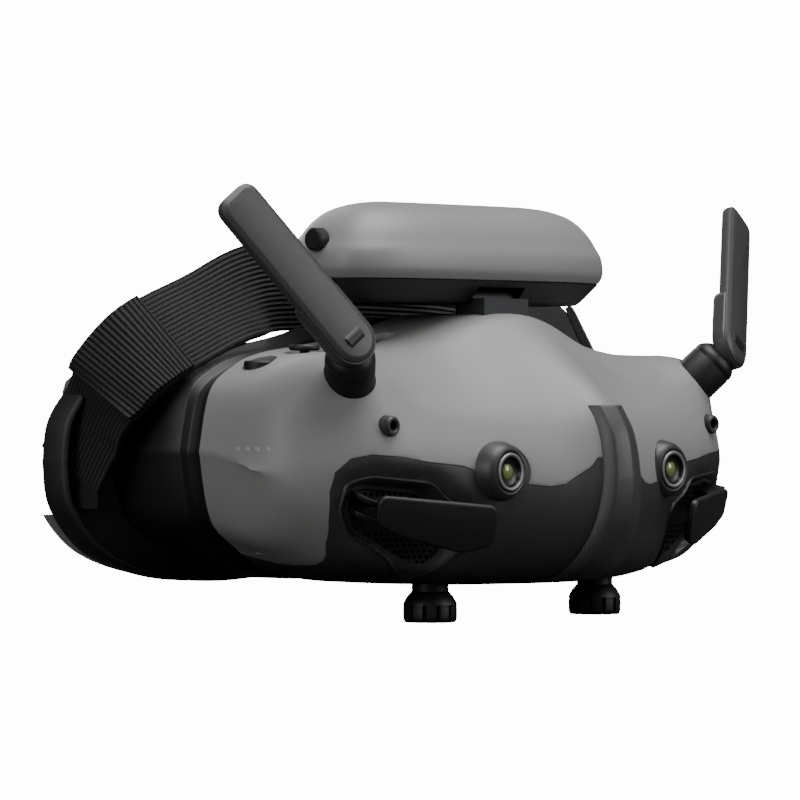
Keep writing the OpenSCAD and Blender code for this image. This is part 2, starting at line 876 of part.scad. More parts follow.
// Forehead pod: a rounded box on a hinge over the block of the housing
pod_y = -38.6 * ky + pod_d / 2;
pod_low = 25.3 * kz + datum_z;
tilt_y = -30 * ky;
tilt_z = pod_low + 1.3;
tilt_pin_r = 1.2;
module slab(z, inset, tall = 0.6) {
    r = 17;
    translate([0, 0, pod_low + z])
        linear_extrude(tall)
            hull()
                for (sx = [-1, 1], sy = [-1, 1])
                    translate([sx * (pod_w / 2 - r), sy * (pod_d / 2 - r)])
                        circle(r = r - inset, $fn = 40);
}
module pod_solid(t) {
    hull() {
        slab(5.5 + t, 1.2 + t);
        slab(8.5, t);
        slab(pod_h - 14, 0.6 + t);
        slab(pod_h - 6, 2.6 + t);
        slab(pod_h - 0.6 - t, 9 + t);
    }
}
module pod_shell() {
    color(light_grey)
        translate([0, pod_y, 0])
            difference() {
                pod_solid(0);
                pod_solid(1.6);
                translate([0, 0, pod_low + 5])
                    linear_extrude(3)
                        square([pod_w - 30, pod_d - 12], center = true);
                translate([-pod_w / 2 - 1, 0, pod_low + 16])
                    rotate([0, 90, 0])
                        cylinder(h = 5, r = 3.2);
            }
}
module pod_base() {
    color("#2e2e2f")
        translate([0, pod_y, 0])
            difference() {
                hull() {
                    slab(0, 5.6);
                    slab(2, 4.4);
                    slab(4.8, 1.9);
                }
                translate([-9.3, -pod_d / 2 - 1, pod_low - 1])
                    cube([18.6, 15.4, 5.2]);
                translate([0, tilt_y - pod_y, tilt_z])
                    rotate([0, 90, 0])
                        cylinder(h = 26, r = tilt_pin_r, center = true);
            }
}
module hinge_pin() {
    color("silver")
        translate([0, tilt_y, tilt_z])
            rotate([0, 90, 0])
                cylinder(h = 25.6, r = tilt_pin_r, center = true);
}
// The foot of the hinge bracket, let into the top of the housing
module bracket_foot(gap) {
    low = 21.6 * kz + datum_z - gap;
    translate([-8.8 - gap, tilt_y - 7.5 - gap, low])
        cube([17.6 + 2 * gap, 10 + 2 * gap, tilt_z - low]);
}
module hinge_bracket() {
    color("#77787a")
        difference() {
            union() {
                translate([-8.8, tilt_y, tilt_z])
                    rotate([0, 90, 0])
                        cylinder(h = 17.6, r = 2.4);
                bracket_foot(0);
            }
            translate([0, tilt_y, tilt_z])
                rotate([0, 90, 0])
                    cylinder(h = 26, r = tilt_pin_r + running, center = true);
        }
}
module battery_cells() {
    color("#3b6ea5")
        for (d = [-8.95, 8.95])
            translate([0, pod_y + d, pod_low + 14.6])
                rotate([0, 90, 0])
                    cylinder(h = 65, r = 8.9, center = true);
}
module forehead_cushion() {
    color("#232324")
        translate([0, pod_y + pod_d / 2 + 4.5, pod_low + 13])
            rotate([90, 0, 0])
                linear_extrude(9, center = true)
                    difference() {
                        square([64, 18], center = true);
                        for (sx = [-1, 1], sy = [-1, 1])
                            translate([sx * 32, sy * 9])
                                rotate(45)
                                    square(6, center = true);
                    }
}
module power_button() {
    color(black)
        translate([-pod_w / 2 - 0.4, pod_y, pod_low + 16])
            rotate([0, 90, 0])
                cylinder(h = 3.4, r = 3);
}

// Headband: a band through the points [x, y, z, lean], from the wearer's right to the middle.
// Each point gives the lean of the band's width from upright.
half_band = [[-94.8, 28, -18, 0], [-94.8, 21.5, -7, 0], [-93.8, 15, 4, 4], [-88, 9, 14.5, 16],
    [-77, 6.5, 21, 26], [-58, 8.5, 26.5, 33], [-36, 17.2, 29.5, 9], [-18, 19.3, 30.7, 0],
    [0, 19.6, 31, 0]];
band = concat(half_band, [for (i = [7:-1:0]) let (p = half_band[i]) [-p[0], p[1], p[2], p[3]]]);
per_band = 3;
function band_place(u) = let (p = along(band, u)) at(p[0] * frame_w / 202 / kx, p[1], p[2]);
// The ring of the band's four corners at position u, moved outwards by off
function band_ring(u, off) = let (
    t = unit(band_place(min(u + 0.05, 16)) - band_place(max(u - 0.05, 0))),
    side = unit([-t[1], t[0], 0]),
    lean = along(band, u)[3],
    across = side * sin(lean) + [0, 0, cos(lean)],
    w = unit(across - t * (across * t)) * (strap_w / 2),
    n = unit(cross(t, w)) * (strap_t / 2),
    c = band_place(u) + n * (2 * off / strap_t))
    [c - w - n, c - w + n, c + w + n, c + w - n];
module band_solid(from, to, off) {
    count = round((to - from) * per_band);
    rings = [for (i = [0:count]) band_ring(from + (to - from) * i / count, off)];
    last = 4 * count;
    polyhedron(flat(rings), concat(
        [[3, 2, 1, 0], [last, last + 1, last + 2, last + 3]],
        flat([for (j = [0:count - 1]) for (i = [0:3])
            let (a = 4 * j, b = a + 4, k = (i + 1) % 4)
            i == 3 ? [[a + 3, a, b + 3], [a, b, b + 3]]
                : [[a + i, a + k, b + k], [a + i, b + k, b + i]]])));
}
module head_strap() {
    color("#191919") {
        band_solid(0, 16, 0);
        for (side = [-1, 1])
            translate([side * (slot_x + 0.3), frame_y + 11, slot_z])
                cube([strap_t * 2 / 3, 16, strap_w - 0.2], center = true);
    }
}
module strap_tails() {
    color("#191919") {
        band_solid(1.8, 3.6, strap_t + 0.9);
        band_solid(12.4, 14.2, strap_t + 0.9);
    }
}

// The sides are those of a picture taken from the front: left is -X.
top_shell();
front_panel();
rear_shell();
lens_plate();
bridge_strip();
face_frame();
face_seal();
camera(-1);  // camera_left
camera(1);  // camera_right
camera_lens(-1);  // camera_lens_left
camera_lens(1);  // camera_lens_right
front_posts();
vent_cover(-1);  // vent_cover_left
vent_cover(1);  // vent_cover_right
vent_mesh(-1);  // vent_mesh_left
vent_mesh(1);  // vent_mesh_right
fan_frame(-1);  // fan_frame_left
fan_frame(1);  // fan_frame_right
fan_rotor(-1);  // fan_rotor_left
fan_rotor(1);  // fan_rotor_right
top_grille(-1);  // top_grille_left
top_grille(1);  // top_grille_right
antenna_socket(-1);  // antenna_socket_left
antenna_socket(1);  // antenna_socket_right
antenna_pin(-1);  // antenna_pin_left
antenna_pin(1);  // antenna_pin_right
antenna_blade(-1);  // antenna_blade_left
antenna_blade(1);  // antenna_blade_right
battery_lights();
joystick();
joystick_ring();
joystick_base();
back_button();
usb_port();
card_slot();
main_board();
chip_shield();
heat_sink();
rod_mounts();
guide_rods();
carriage(-1);  // carriage_left
carriage(1);  // carriage_right
display(-1);  // display_left
display(1);  // display_right
barrel(-1);  // barrel_left
barrel(1);  // barrel_right
eyepiece(-1);  // eyepiece_left
eyepiece(1);  // eyepiece_right
knob(-1);  // knob_left
knob(1);  // knob_right
hinge_bracket();
hinge_pin();
pod_shell();
pod_base();
forehead_cushion();
battery_cells();
power_button();
head_strap();
strap_tails();
lens_screws();
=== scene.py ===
import bpy
import json
import math
import numpy as np
from mathutils import Matrix, Vector
from mathutils.bvhtree import BVHTree

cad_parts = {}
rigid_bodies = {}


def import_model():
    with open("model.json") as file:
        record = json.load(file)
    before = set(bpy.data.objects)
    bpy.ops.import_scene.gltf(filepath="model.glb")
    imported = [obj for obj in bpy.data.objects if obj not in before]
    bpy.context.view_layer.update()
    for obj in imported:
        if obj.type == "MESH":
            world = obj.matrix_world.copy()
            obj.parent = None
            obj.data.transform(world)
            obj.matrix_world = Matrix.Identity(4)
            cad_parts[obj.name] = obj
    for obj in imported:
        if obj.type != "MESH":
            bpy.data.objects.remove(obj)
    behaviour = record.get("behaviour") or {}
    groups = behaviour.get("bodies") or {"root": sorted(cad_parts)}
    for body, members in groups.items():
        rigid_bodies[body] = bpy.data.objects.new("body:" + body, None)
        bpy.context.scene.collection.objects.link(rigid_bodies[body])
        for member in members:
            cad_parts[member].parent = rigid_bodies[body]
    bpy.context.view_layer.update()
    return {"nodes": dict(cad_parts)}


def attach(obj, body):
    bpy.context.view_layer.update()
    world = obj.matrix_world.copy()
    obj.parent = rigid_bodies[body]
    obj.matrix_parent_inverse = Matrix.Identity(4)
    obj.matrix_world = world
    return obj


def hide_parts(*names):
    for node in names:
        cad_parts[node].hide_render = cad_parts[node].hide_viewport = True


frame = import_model()


# --- Camera: a long lens in front of the goggles and to one side, level with the lower edge of the
# top shell, so that the two halves of the front are seen unequally.
aim = Vector((0, 0, 0.057))
away = Vector((-0.743, -0.669, 0)).normalized()
camera = bpy.data.objects.new("camera", bpy.data.cameras.new("camera"))
bpy.context.scene.collection.objects.link(camera)
camera.location = aim + away * 1.3
camera.rotation_euler = (-away).to_track_quat("-Z", "Y").to_euler()
camera.data.lens = 219
camera.data.sensor_width = 36
camera.data.clip_end = 30
bpy.context.scene.camera = camera


# --- Studio: a sweep that shows pure white and throws little light back, a broad soft light
# overhead, two weaker panels at the front and one behind.
def srgb(code):
    """A hex colour as linear RGBA."""
    channels = [int(code[i:i + 2], 16) / 255 for i in (1, 3, 5)]
    return [c / 12.92 if c <= 0.04045 else ((c + 0.055) / 1.055) ** 2.4 for c in channels] + [1]


def add(material, kind, links=(), **settings):
    """Adds a node, sets its sockets and properties, and links outputs of other nodes to it."""
    made = material.node_tree.nodes.new(kind)
    for name, value in settings.items():
        if hasattr(made, name):
            setattr(made, name, value)
        else:
            made.inputs[name.replace("_", " ")].default_value = value
    for name, source in links:
        material.node_tree.links.new(source, made.inputs[name])
    return made


def new_material(name):
    material = bpy.data.materials.new(name)
    material.use_nodes = True
    material.node_tree.nodes.clear()
    return material


def finish(material, shader):
    """Joins a shader to the material's output."""
    add(material, "ShaderNodeOutputMaterial", [("Surface", shader.outputs[0])])
    return material


paper = new_material("white_paper_sweep")
ray = add(paper, "ShaderNodeLightPath")
lit = add(paper, "ShaderNodeEmission", Color=srgb("#ffffff"), Strength=14.0)
dim = add(paper, "ShaderNodeBsdfDiffuse", Color=srgb("#3c3c3c"))
sheet = add(paper, "ShaderNodeMixShader", [("Fac", ray.outputs["Is Camera Ray"])])
paper.node_tree.links.new(dim.outputs[0], sheet.inputs[1])
paper.node_tree.links.new(lit.outputs[0], sheet.inputs[2])
finish(paper, sheet)


def grid_mesh(name, rows, closed=False, around=False):
    """A mesh over a table of points: closed joins the last row to the first, and around the last
    point of a row to its first."""
    n = len(rows)
    m = len(rows[0])
    verts = [tuple(p) for r in rows for p in r]
    faces = []
    for i in range(n if closed else n - 1):
        for k in range(m if around else m - 1):
            a, b = i * m, ((i + 1) % n) * m
            l = (k + 1) % m
            faces.append((a + k, a + l, b + l, b + k))
    mesh = bpy.data.meshes.new(name)
    mesh.from_pydata(verts, [], faces)
    mesh.update()
    made = bpy.data.objects.new(name, mesh)
    bpy.context.scene.collection.objects.link(made)
    return made


def only(*things):
    """Selects these objects and nothing else, the first one active."""
    for o in bpy.context.view_layer.objects:
        o.select_set(False)
    for o in things:
        o.select_set(True)
    bpy.context.view_layer.objects.active = things[0]


def smooth(piece, angle=35):
    only(piece)
    bpy.ops.object.shade_smooth_by_angle(angle=math.radians(angle))


def outward(piece, merge=0.000001):
    """Merges doubles and turns every face outwards."""
    only(piece)
    bpy.ops.object.mode_set(mode="EDIT")
    bpy.ops.mesh.select_all(action="SELECT")
    bpy.ops.mesh.remove_doubles(threshold=merge)
    bpy.ops.mesh.normals_make_consistent(inside=False)
    bpy.ops.object.mode_set(mode="OBJECT")


def apply(piece, kind, **settings):
    """Adds a modifier to a piece and applies it."""
    only(piece)
    made = piece.modifiers.new(kind.lower(), kind)
    for name, value in settings.items():
        setattr(made, name, value)
    bpy.ops.object.modifier_apply(modifier=made.name)


def paint(piece, material):
    """Gives the whole piece one material, whichever slots it has."""
    if not piece.material_slots:
        piece.data.materials.append(material)
    for s in piece.material_slots:
        s.material = material


sweep_profile = [(-6, 0), (2, 0)] + [(2 + 2 * math.sin(t), 2 - 2 * math.cos(t))
                                     for t in np.linspace(0.1, math.pi / 2, 14)] + [(4, 9)]
side_way = Vector((0.669, -0.743, 0))
sweep = grid_mesh("studio_sweep", [[side_way * x + Vector((0.743, 0.669, 0)) * d + Vector((0, 0, z))
                                    for x in (-9, 9)] for d, z in sweep_profile])
smooth(sweep, 60)
paint(sweep, paper)


def panel_light(name, place, size, watts):
    light = bpy.data.objects.new(name, bpy.data.lights.new(name, "AREA"))
    bpy.context.scene.collection.objects.link(light)
    light.location = place
    light.rotation_euler = (aim - Vector(place)).to_track_quat("-Z", "Y").to_euler()
    light.data.shape = "RECTANGLE"
    light.data.size, light.data.size_y = size
    light.data.energy = watts
    return light


panel_light("overhead", (0.1, -0.3, 1.5), (1.3, 1.1), 30)
panel_light("left_front", (-1.7, -0.1, 0.6), (0.7, 1.0), 9)
panel_light("right_front", (0.9, -1.7, 0.7), (0.8, 1.0), 13)
panel_light("behind", (0.7, 1.7, 0.9), (1.0, 1.0), 10)
world = bpy.data.worlds.new("white_room")
bpy.context.scene.world = world
world.use_nodes = True
world.node_tree.nodes["Background"].inputs["Color"].default_value = srgb("#ffffff")
world.node_tree.nodes["Background"].inputs["Strength"].default_value = 0.16


# --- Housing skin: the outer surface that the top shell, the front panel and their details follow.
# Stations run across from the middle, and each holds a line from the rear rim over the top to the
# belt and under the chin back to the rim, as [y, z] in millimetres.
LIFT = 57
STATION_X = [0, 14, 33, 52, 66, 75, 84, 88]
PROFILE = [
    [(-11, 22.6), (-38, 22.6), (-47, 18.5), (-61, 8), (-73, -3), (-77, -16.5),
     (-76, -31), (-69, -42), (-58, -47), (-38, -47.5), (-11, -47.5)],
    [(-11, 21.8), (-36, 21.2), (-46, 15.5), (-58, 5), (-68, -7), (-72, -20.5),
     (-70.5, -33), (-65, -42), (-55, -47), (-36, -47.5), (-11, -47.5)],
    [(-11, 17), (-32, 15.5), (-43, 11), (-53, 3), (-61, -6), (-64.5, -17.5),
     (-63.5, -31), (-59, -41), (-50, -46.5), (-32, -47.5), (-11, -47.5)],
    [(-11, 14), (-30, 12.5), (-41, 10), (-49.5, 4), (-56, -5), (-59, -15.5),
     (-58, -30), (-54, -39), (-46, -44.5), (-30, -46), (-11, -46)],
    [(-11, 12), (-28, 12), (-40, 11.6), (-48.5, 6.6), (-52.8, -4), (-55, -15),
     (-53.5, -29), (-50, -37), (-42, -42.5), (-28, -43.5), (-11, -42.5)],
    [(-11, 9), (-25, 9.4), (-36, 9.6), (-44, 6), (-47, -5), (-49.5, -16.5),
     (-47.5, -27), (-43.5, -34), (-36, -38.5), (-25, -39.5), (-11, -37.5)],
    [(-11, 2.5), (-21, 2), (-28, 0.5), (-33.5, -3), (-37, -10), (-39, -18),
     (-38, -24), (-34.5, -28), (-29, -31), (-21, -32), (-11, -30)],
    [(-11, -13), (-16, -13.5), (-20, -14.5), (-24, -15.5), (-27, -16.5), (-29, -17.5),
     (-27, -16.5), (-24, -15.5), (-20, -14.5), (-16, -13.5), (-11, -13)]]


def along(points, u):
    """The smooth curve through points, or rows of points, at position u."""
    last = len(points) - 1
    i = min(int(u), last - 1)
    a, b, c, d = (np.asarray(points[j], float) for j in
                  (max(i - 1, 0), i, i + 1, min(i + 2, last)))
    t = u - i
    return (b + (c - a) * (t / 2) + (a - 2.5 * b + 2 * c - 0.5 * d) * t ** 2
            + (1.5 * b - 0.5 * a - 1.5 * c + 0.5 * d) * t ** 3)


def station(i, side):
    return [(side * STATION_X[i], y, z) for y, z in PROFILE[i]]


FULL_NET = [station(i, -1) for i in range(7, 0, -1)] + [station(i, 1) for i in range(8)]


def skin_rows(across, down):
    """The skin as a table of points, with so many spans to a station and to a profile point."""
    rows = []
    for c in range(14 * across + 1):
        row = along(FULL_NET, c / across)
        rows.append([along(row, k / down) for k in range(10 * down + 1)])
    return np.array(rows)


def shrunk(points, t):
    """The skin moved inwards by t, with its rear rim left in its plane."""
    p = np.array(points, float)
    p[..., 0] *= 1 - t / 88
    p[..., 1] = -11 + (p[..., 1] + 11) * (1 - t / 66)
    p[..., 2] = -13 + (p[..., 2] + 13) * (1 - t / 35)
    return p


def placed(points):
    """Millimetres in the housing's frame as metres on the floor's."""
    return (np.asarray(points, float) + (0, 0, LIFT)) / 1000


def skin_wall(name, outer, inner, across=9, down=9):
    """A closed wall between two depths of the skin."""
    skin = skin_rows(across, down)
    out, low = placed(shrunk(skin, outer)), placed(shrunk(skin, inner))
    loop = np.concatenate([out, low[:, ::-1]], axis=1)
    wall = grid_mesh(name, loop, around=True)
    outward(wall)
    return wall


skin = skin_rows(9, 9)
skin_sheet = grid_mesh("skin_sheet", placed(skin))
skin_tree = BVHTree.FromPolygons([v.co.copy() for v in skin_sheet.data.vertices],
                                 [tuple(p.vertices) for p in skin_sheet.data.polygons])
bpy.data.objects.remove(skin_sheet)


def on_skin(x, z, proud=0.0):
    """The point of the skin's front at x and z, in the housing's millimetres."""
    hit = skin_tree.ray_cast(Vector(placed((x, -200, z))), Vector((0, 1, 0)))[0]
    return (x, hit.y * 1000 - proud, z)


def cutter(name, outline, low=-200, high=200, side=1):
    """A closed block whose outline is given in X and Z, standing through the housing's depth."""
    points = [(side * x, z) for x, z in outline]
    rows = [placed([(x, y, z) for x, z in points]) for y in (low, high)]
    block = grid_mesh(name, rows, around=True)
    mesh = block.data
    n = len(points)
    verts = [v.co.copy() for v in mesh.vertices]
    faces = [tuple(p.vertices) for p in mesh.polygons]
    faces += [tuple(range(n)), tuple(range(2 * n - 1, n - 1, -1))]
    mesh.clear_geometry()
    mesh.from_pydata(verts, [], faces)
    outward(block)
    return block


def join(pieces, name):
    only(*pieces)
    bpy.ops.object.join()
    pieces[0].name = name
    return pieces[0]


def cut(piece, tools, how="DIFFERENCE", solver="EXACT", keep=False):
    """Cuts a piece with others, and drops them."""
    for tool in tools:
        apply(piece, "BOOLEAN", object=tool, operation=how, solver=solver)
        if not keep:
            bpy.data.objects.remove(tool)


def arc(cx, cz, r, start, end, steps=16):
    return [(cx + r * math.cos(math.radians(a)), cz + r * math.sin(math.radians(a)))
            for a in np.linspace(start, end, steps)]


def rounded(outline, radius, steps=5):
    """An outline with each corner rounded."""
    made = []
    n = len(outline)
    for i, p in enumerate(outline):
        p = np.array(p, float)
        before, after = np.array(outline[i - 1], float), np.array(outline[(i + 1) % n], float)
        a, b = before - p, after - p
        reach = min(radius, np.linalg.norm(a) * 0.45, np.linalg.norm(b) * 0.45)
        start, end = p + a / np.linalg.norm(a) * reach, p + b / np.linalg.norm(b) * reach
        for t in np.linspace(0, 1, steps):
            made.append(tuple(start * (1 - t) ** 2 + 2 * p * t * (1 - t) + end * t ** 2))
    return made


CAM = (32.8, -64.8, -18.2)
BOSS_R = 7.4


def parting(gap):
    """Half of the line between the top shell and the front panel, from the middle outwards."""
    line = [(0, -14.6), (7.2, -14.8), (9, -17), (16, -21.4), (20, -22)]
    line += arc(CAM[0], CAM[2], BOSS_R, 205, 2, 22)
    line += [(44, -16.6), (53.5, -15.6), (62, -14.2), (69.5, -13.6), (74, -14.6), (77, -18),
             (77.6, -23), (76.4, -30), (74.5, -36), (71, -41.5), (70, -46), (70, -70), (0, -70)]
    return [(x, z - gap) if z > -60 else (x, z) for x, z in line]


def panel_block(gap):
    left = parting(gap)
    return cutter("panel_block", left + [(-x, z) for x, z in reversed(left) if x > 0])


def spread(points, count):
    """A closed outline redrawn with evenly spaced points."""
    p = np.array(list(points) + [points[0]], float)
    run = np.concatenate([[0], np.cumsum(np.linalg.norm(np.diff(p, axis=0), axis=1))])
    at = np.linspace(0, run[-1], count, endpoint=False)
    return [tuple(np.interp(a, run, p[:, i]) for i in range(p.shape[1])) for a in at]


def drawn_in(points, t):
    """An outline moved inwards by t along the normals of its smoothed corners."""
    p = np.array(points, float)
    way = np.roll(p, -1, axis=0) - np.roll(p, 1, axis=0)
    normal = np.stack([-way[:, 1], way[:, 0]], axis=1)
    normal /= np.linalg.norm(normal, axis=1, keepdims=True)
    area = np.sum(p[:, 0] * np.roll(p[:, 1], -1) - np.roll(p[:, 0], -1) * p[:, 1])
    return p + normal * t * (1 if area > 0 else -1)


def distance(points, outline):
    """How far points in X and Z are from a closed outline, negative inside it."""
    a = np.array(outline, float)
    b = np.roll(a, -1, axis=0)
    p = np.asarray(points, float)[:, None]
    t = np.clip(np.sum((p - a) * (b - a), axis=2) / np.sum((b - a) ** 2, axis=1), 0, 1)
    gap = np.linalg.norm(p - (a + t[..., None] * (b - a)), axis=2).min(axis=1)
    over = (a[:, 1] > p[..., 1]) != (b[:, 1] > p[..., 1])
    cross = a[:, 0] + (p[..., 1] - a[:, 1]) * (b[:, 0] - a[:, 0]) / np.where(
        b[:, 1] == a[:, 1], 1e-9, b[:, 1] - a[:, 1])
    inside = np.sum(over & (p[..., 0] < cross), axis=1) % 2 == 1
    return np.where(inside, -gap, gap)


def turned(name, profile, place, steps=64):
    """A profile of (radius, height) spun about Z, then put in place. Millimetres."""
    mesh = bpy.data.meshes.new(name)
    mesh.from_pydata([(r, 0, h) for r, h in profile], [(i, i + 1) for i in range(len(profile) - 1)],
                     [])
    piece = bpy.data.objects.new(name, mesh)
    bpy.context.scene.collection.objects.link(piece)
    only(piece)
    bpy.ops.object.mode_set(mode="EDIT")
    bpy.ops.mesh.select_all(action="SELECT")
    bpy.ops.mesh.spin(steps=steps, angle=2 * math.pi, center=(0, 0, 0), axis=(0, 0, 1))
    bpy.ops.object.mode_set(mode="OBJECT")
    settle(piece, place, 0.0005)
    return piece


def settle(piece, place, merge=0.0005):
    """Merges a piece's doubles, and moves its mesh from millimetres to its place in metres."""
    outward(piece, merge)
    piece.data.transform(Matrix.Scale(0.001, 4) @ place)
    if place.is_negative:
        piece.data.flip_normals()
    outward(piece)


def slab(name, outline, low, high, place, bevel=0.4, segments=3):
    """An outline in X and Y extruded between two heights, its edges bevelled."""
    mesh = bpy.data.meshes.new(name)
    mesh.from_pydata([(x, y, low) for x, y in outline], [], [tuple(range(len(outline)))])
    piece = bpy.data.objects.new(name, mesh)
    bpy.context.scene.collection.objects.link(piece)
    only(piece)
    bpy.ops.object.mode_set(mode="EDIT")
    bpy.ops.mesh.select_all(action="SELECT")
    bpy.ops.mesh.extrude_region_move(TRANSFORM_OT_translate={"value": (0, 0, high - low)})
    bpy.ops.object.mode_set(mode="OBJECT")
    outward(piece, 0.0005)
    if bevel:
        apply(piece, "BEVEL", width=bevel, segments=segments, limit_method="ANGLE",
              angle_limit=math.radians(40), use_clamp_overlap=True)
    settle(piece, place)
    return piece


def loft(name, loops, place=None, caps=True):
    """A skin through closed loops of points, capped at both ends. Millimetres."""
    piece = grid_mesh(name, loops, closed=not caps, around=True)
    if caps:
        mesh = piece.data
        verts = [v.co.copy() for v in mesh.vertices]
        faces = [tuple(p.vertices) for p in mesh.polygons]
        n, last = len(loops[0]), len(loops[0]) * (len(loops) - 1)
        faces += [tuple(range(n)), tuple(range(last, last + n))]
        mesh.clear_geometry()
        mesh.from_pydata(verts, [], faces)
    settle(piece, place or Matrix.Translation((0, 0, LIFT)))
    return piece


def mirrored(piece, name):
    """A copy on the other side of the goggles, with its own mesh."""
    mesh = piece.data.copy()
    mesh.transform(Matrix.Scale(-1, 4, (1, 0, 0)))
    mesh.flip_normals()
    copy = bpy.data.objects.new(name, mesh)
    bpy.context.scene.collection.objects.link(copy)
    return copy


def stands_for(piece, nodes, material, body="housing", angle=35):
    """Paints and smooths a piece, puts it on its body and hides the CAD nodes it stands for."""
    paint(piece, material)
    smooth(piece, angle)
    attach(piece, body)
    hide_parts(*nodes)


def toward(direction, origin=(0, 0, 0), lift=LIFT):
    """The place of a piece whose Z runs along a direction."""
    x, y, z = origin
    return (Matrix.Translation((x, y, z + lift))
            @ Vector(direction).normalized().to_track_quat("Z", "Y").to_matrix().to_4x4())


# --- Materials of the housing: injection-moulded ABS. The moulds are spark-eroded, which leaves a
# grain of about 0.2 mm that breaks a highlight into a soft satin sheen.
def grained(name, colour, rough, grain_mm=0.22, depth=0.12, blotch=0.03, mottle=0.0):
    material = new_material(name)
    where = add(material, "ShaderNodeTexCoord")
    grain = add(material, "ShaderNodeTexNoise", [("Vector", where.outputs["Object"])],
                Scale=1000 / grain_mm / 4, Detail=3, Roughness=0.6)
    wide = add(material, "ShaderNodeTexNoise", [("Vector", where.outputs["Object"])],
               Scale=60, Detail=4, Roughness=0.55)
    bump = add(material, "ShaderNodeBump", [("Height", grain.outputs["Fac"])],
               Strength=depth, Distance=0.0001)
    worn = add(material, "ShaderNodeMapRange", [("Value", wide.outputs["Fac"])],
               From_Min=0.3, From_Max=0.7, To_Min=rough - blotch, To_Max=rough + blotch)
    shade = srgb(colour)
    low = [c * (1 - mottle) for c in shade[:3]] + [1]
    high = [min(1, c * (1 + mottle)) for c in shade[:3]] + [1]
    tint = add(material, "ShaderNodeMix", [("Factor", grain.outputs["Fac"])], data_type="RGBA")
    tint.inputs[6].default_value = low
    tint.inputs[7].default_value = high
    shader = add(material, "ShaderNodeBsdfPrincipled",
                 [("Base Color", tint.outputs[2]), ("Roughness", worn.outputs["Result"]),
                  ("Normal", bump.outputs["Normal"])], IOR=1.54)
    return finish(material, shader)


grey_abs = grained("grey_moulded_abs", "#8a8a8a", 0.46, mottle=0.05)
dark_abs = grained("dark_moulded_abs", "#343434", 0.44, mottle=0.12)
blade_abs = grained("dark_grey_moulded_abs", "#3e3e3e", 0.46, mottle=0.14)
black_abs = grained("black_moulded_abs", "#0c0c0c", 0.5, mottle=0.1)


# --- Top shell: the grey upper half of the housing. It is moulded in one piece with the block that
# carries the pod, and meets the front panel along a fine line that dips round the cameras.
STUB_DIR = Vector((-0.52, -0.50, 0.69)).normalized()
HINGE = Vector((-76.5, -52.4, 15.1))
SOCKET_R = 6.4
GRILLE = (45, -24, 13.2)
STICK = (-63, -24, 11.5)
BUTTON = (-73.9, -19, 9)
POST = (64.3, -56, -6.5)


def flipped(side):
    """Mirrors a piece drawn for one side when side is negative."""
    return Matrix.Scale(-1, 4, (1, 0, 0)) if side < 0 else Matrix()


def stadium(length, width, steps=12):
    r = width / 2
    return arc(length / 2 - r, 0, r, -90, 90, steps) + arc(-length / 2 + r, 0, r, 90, 270, steps)


def grille_place(side):
    return (flipped(side) @ Matrix.Translation((GRILLE[0], GRILLE[1], GRILLE[2] + LIFT))
            @ Matrix.Rotation(math.radians(-5), 4, "Z") @ Matrix.Rotation(math.radians(10), 4, "Y"))


top = skin_wall("top_shell_skin", 0, 2.2)
cut(top, [panel_block(0)])
holes = []
for side in (-1, 1):
    x_flip = flipped(side)
    holes.append(turned("cam_hole", [(0, 0), (BOSS_R + 0.25, 0), (BOSS_R + 0.25, 30), (0, 30)],
                        x_flip @ toward((0, 1, 0), (CAM[0], CAM[1] - 12, CAM[2])), 48))
    holes.append(turned("stub_hole", [(0, 0), (SOCKET_R + 0.2, 0), (SOCKET_R + 0.2, 26), (0, 26)],
                        flipped(-side) @ toward(STUB_DIR, HINGE - STUB_DIR * 26), 64))
    holes.append(slab("grille_hole", stadium(33, 7), -8, 8, grille_place(side), 0))
    holes.append(turned("post_hole", [(0, 0), (2.65, 0), (2.65, 20), (0, 20)],
                        x_flip @ toward((0, 1, 0), (POST[0], POST[1] - 9, POST[2])), 32))
holes.append(turned("stick_hole", [(0, 0), (5.3, 0), (5.3, 16), (0, 16)],
                    toward((0, 0, 1), (STICK[0], STICK[1], STICK[2] - 8)), 48))
holes.append(turned("button_hole", [(0, 0), (4.55, 0), (4.55, 16), (0, 16)],
                    toward((-0.3, 0, 1), (BUTTON[0] + 2.4, BUTTON[1], BUTTON[2] - 8)), 48))
for hole in holes:
    cut(top, [hole])
apply(top, "BEVEL", width=0.00025, segments=2, limit_method="ANGLE",
      angle_limit=math.radians(50), use_clamp_overlap=True)
stands_for(top, ["top_shell"], grey_abs)


# --- Front panel: the dark lower half. It has a boss round each camera and a deep vent beside it,
# and the skin rolls in towards the mouth of each vent.
VENT = rounded([(74.3, -20.5), (69, -18.6), (51.5, -20.5), (47.6, -24.5), (41, -27.2),
                (38.6, -31), (39.6, -37), (43, -42), (46.7, -44.6), (51, -44.3), (54.5, -43),
                (71.5, -34.2), (74.6, -28)], 2.2)
ROLL = 1.7
panel = skin_wall("front_panel_skin", 0, 2.2)
net = np.array([v.co[:] for v in panel.data.vertices]) * 1000 - (0, 0, LIFT)
near = np.full(len(net), 99.0)
front_half = (net[:, 1] < -30) & (abs(net[:, 0]) > 38) & (net[:, 2] < -12)
near[front_half] = distance(np.stack([abs(net[front_half, 0]), net[front_half, 2]], 1), VENT)
net[:, 1] += ROLL * np.clip(1 - near / 4.2, 0, 1) ** 2
panel.data.vertices.foreach_set("co", placed(net).ravel())
panel.data.update()
cut(panel, [panel_block(0.18)], "INTERSECT")
VENT_MID = Vector((53.5, -58.4, -31))


def vent_place(side, depth):
    return (flipped(side) @ Matrix.Translation((VENT_MID.x, VENT_MID.y, VENT_MID.z + LIFT))
            @ Matrix.Rotation(math.radians(17), 4, "Z")
            @ Matrix.Rotation(math.radians(13), 4, "X") @ Matrix.Translation((0, depth, 0)))


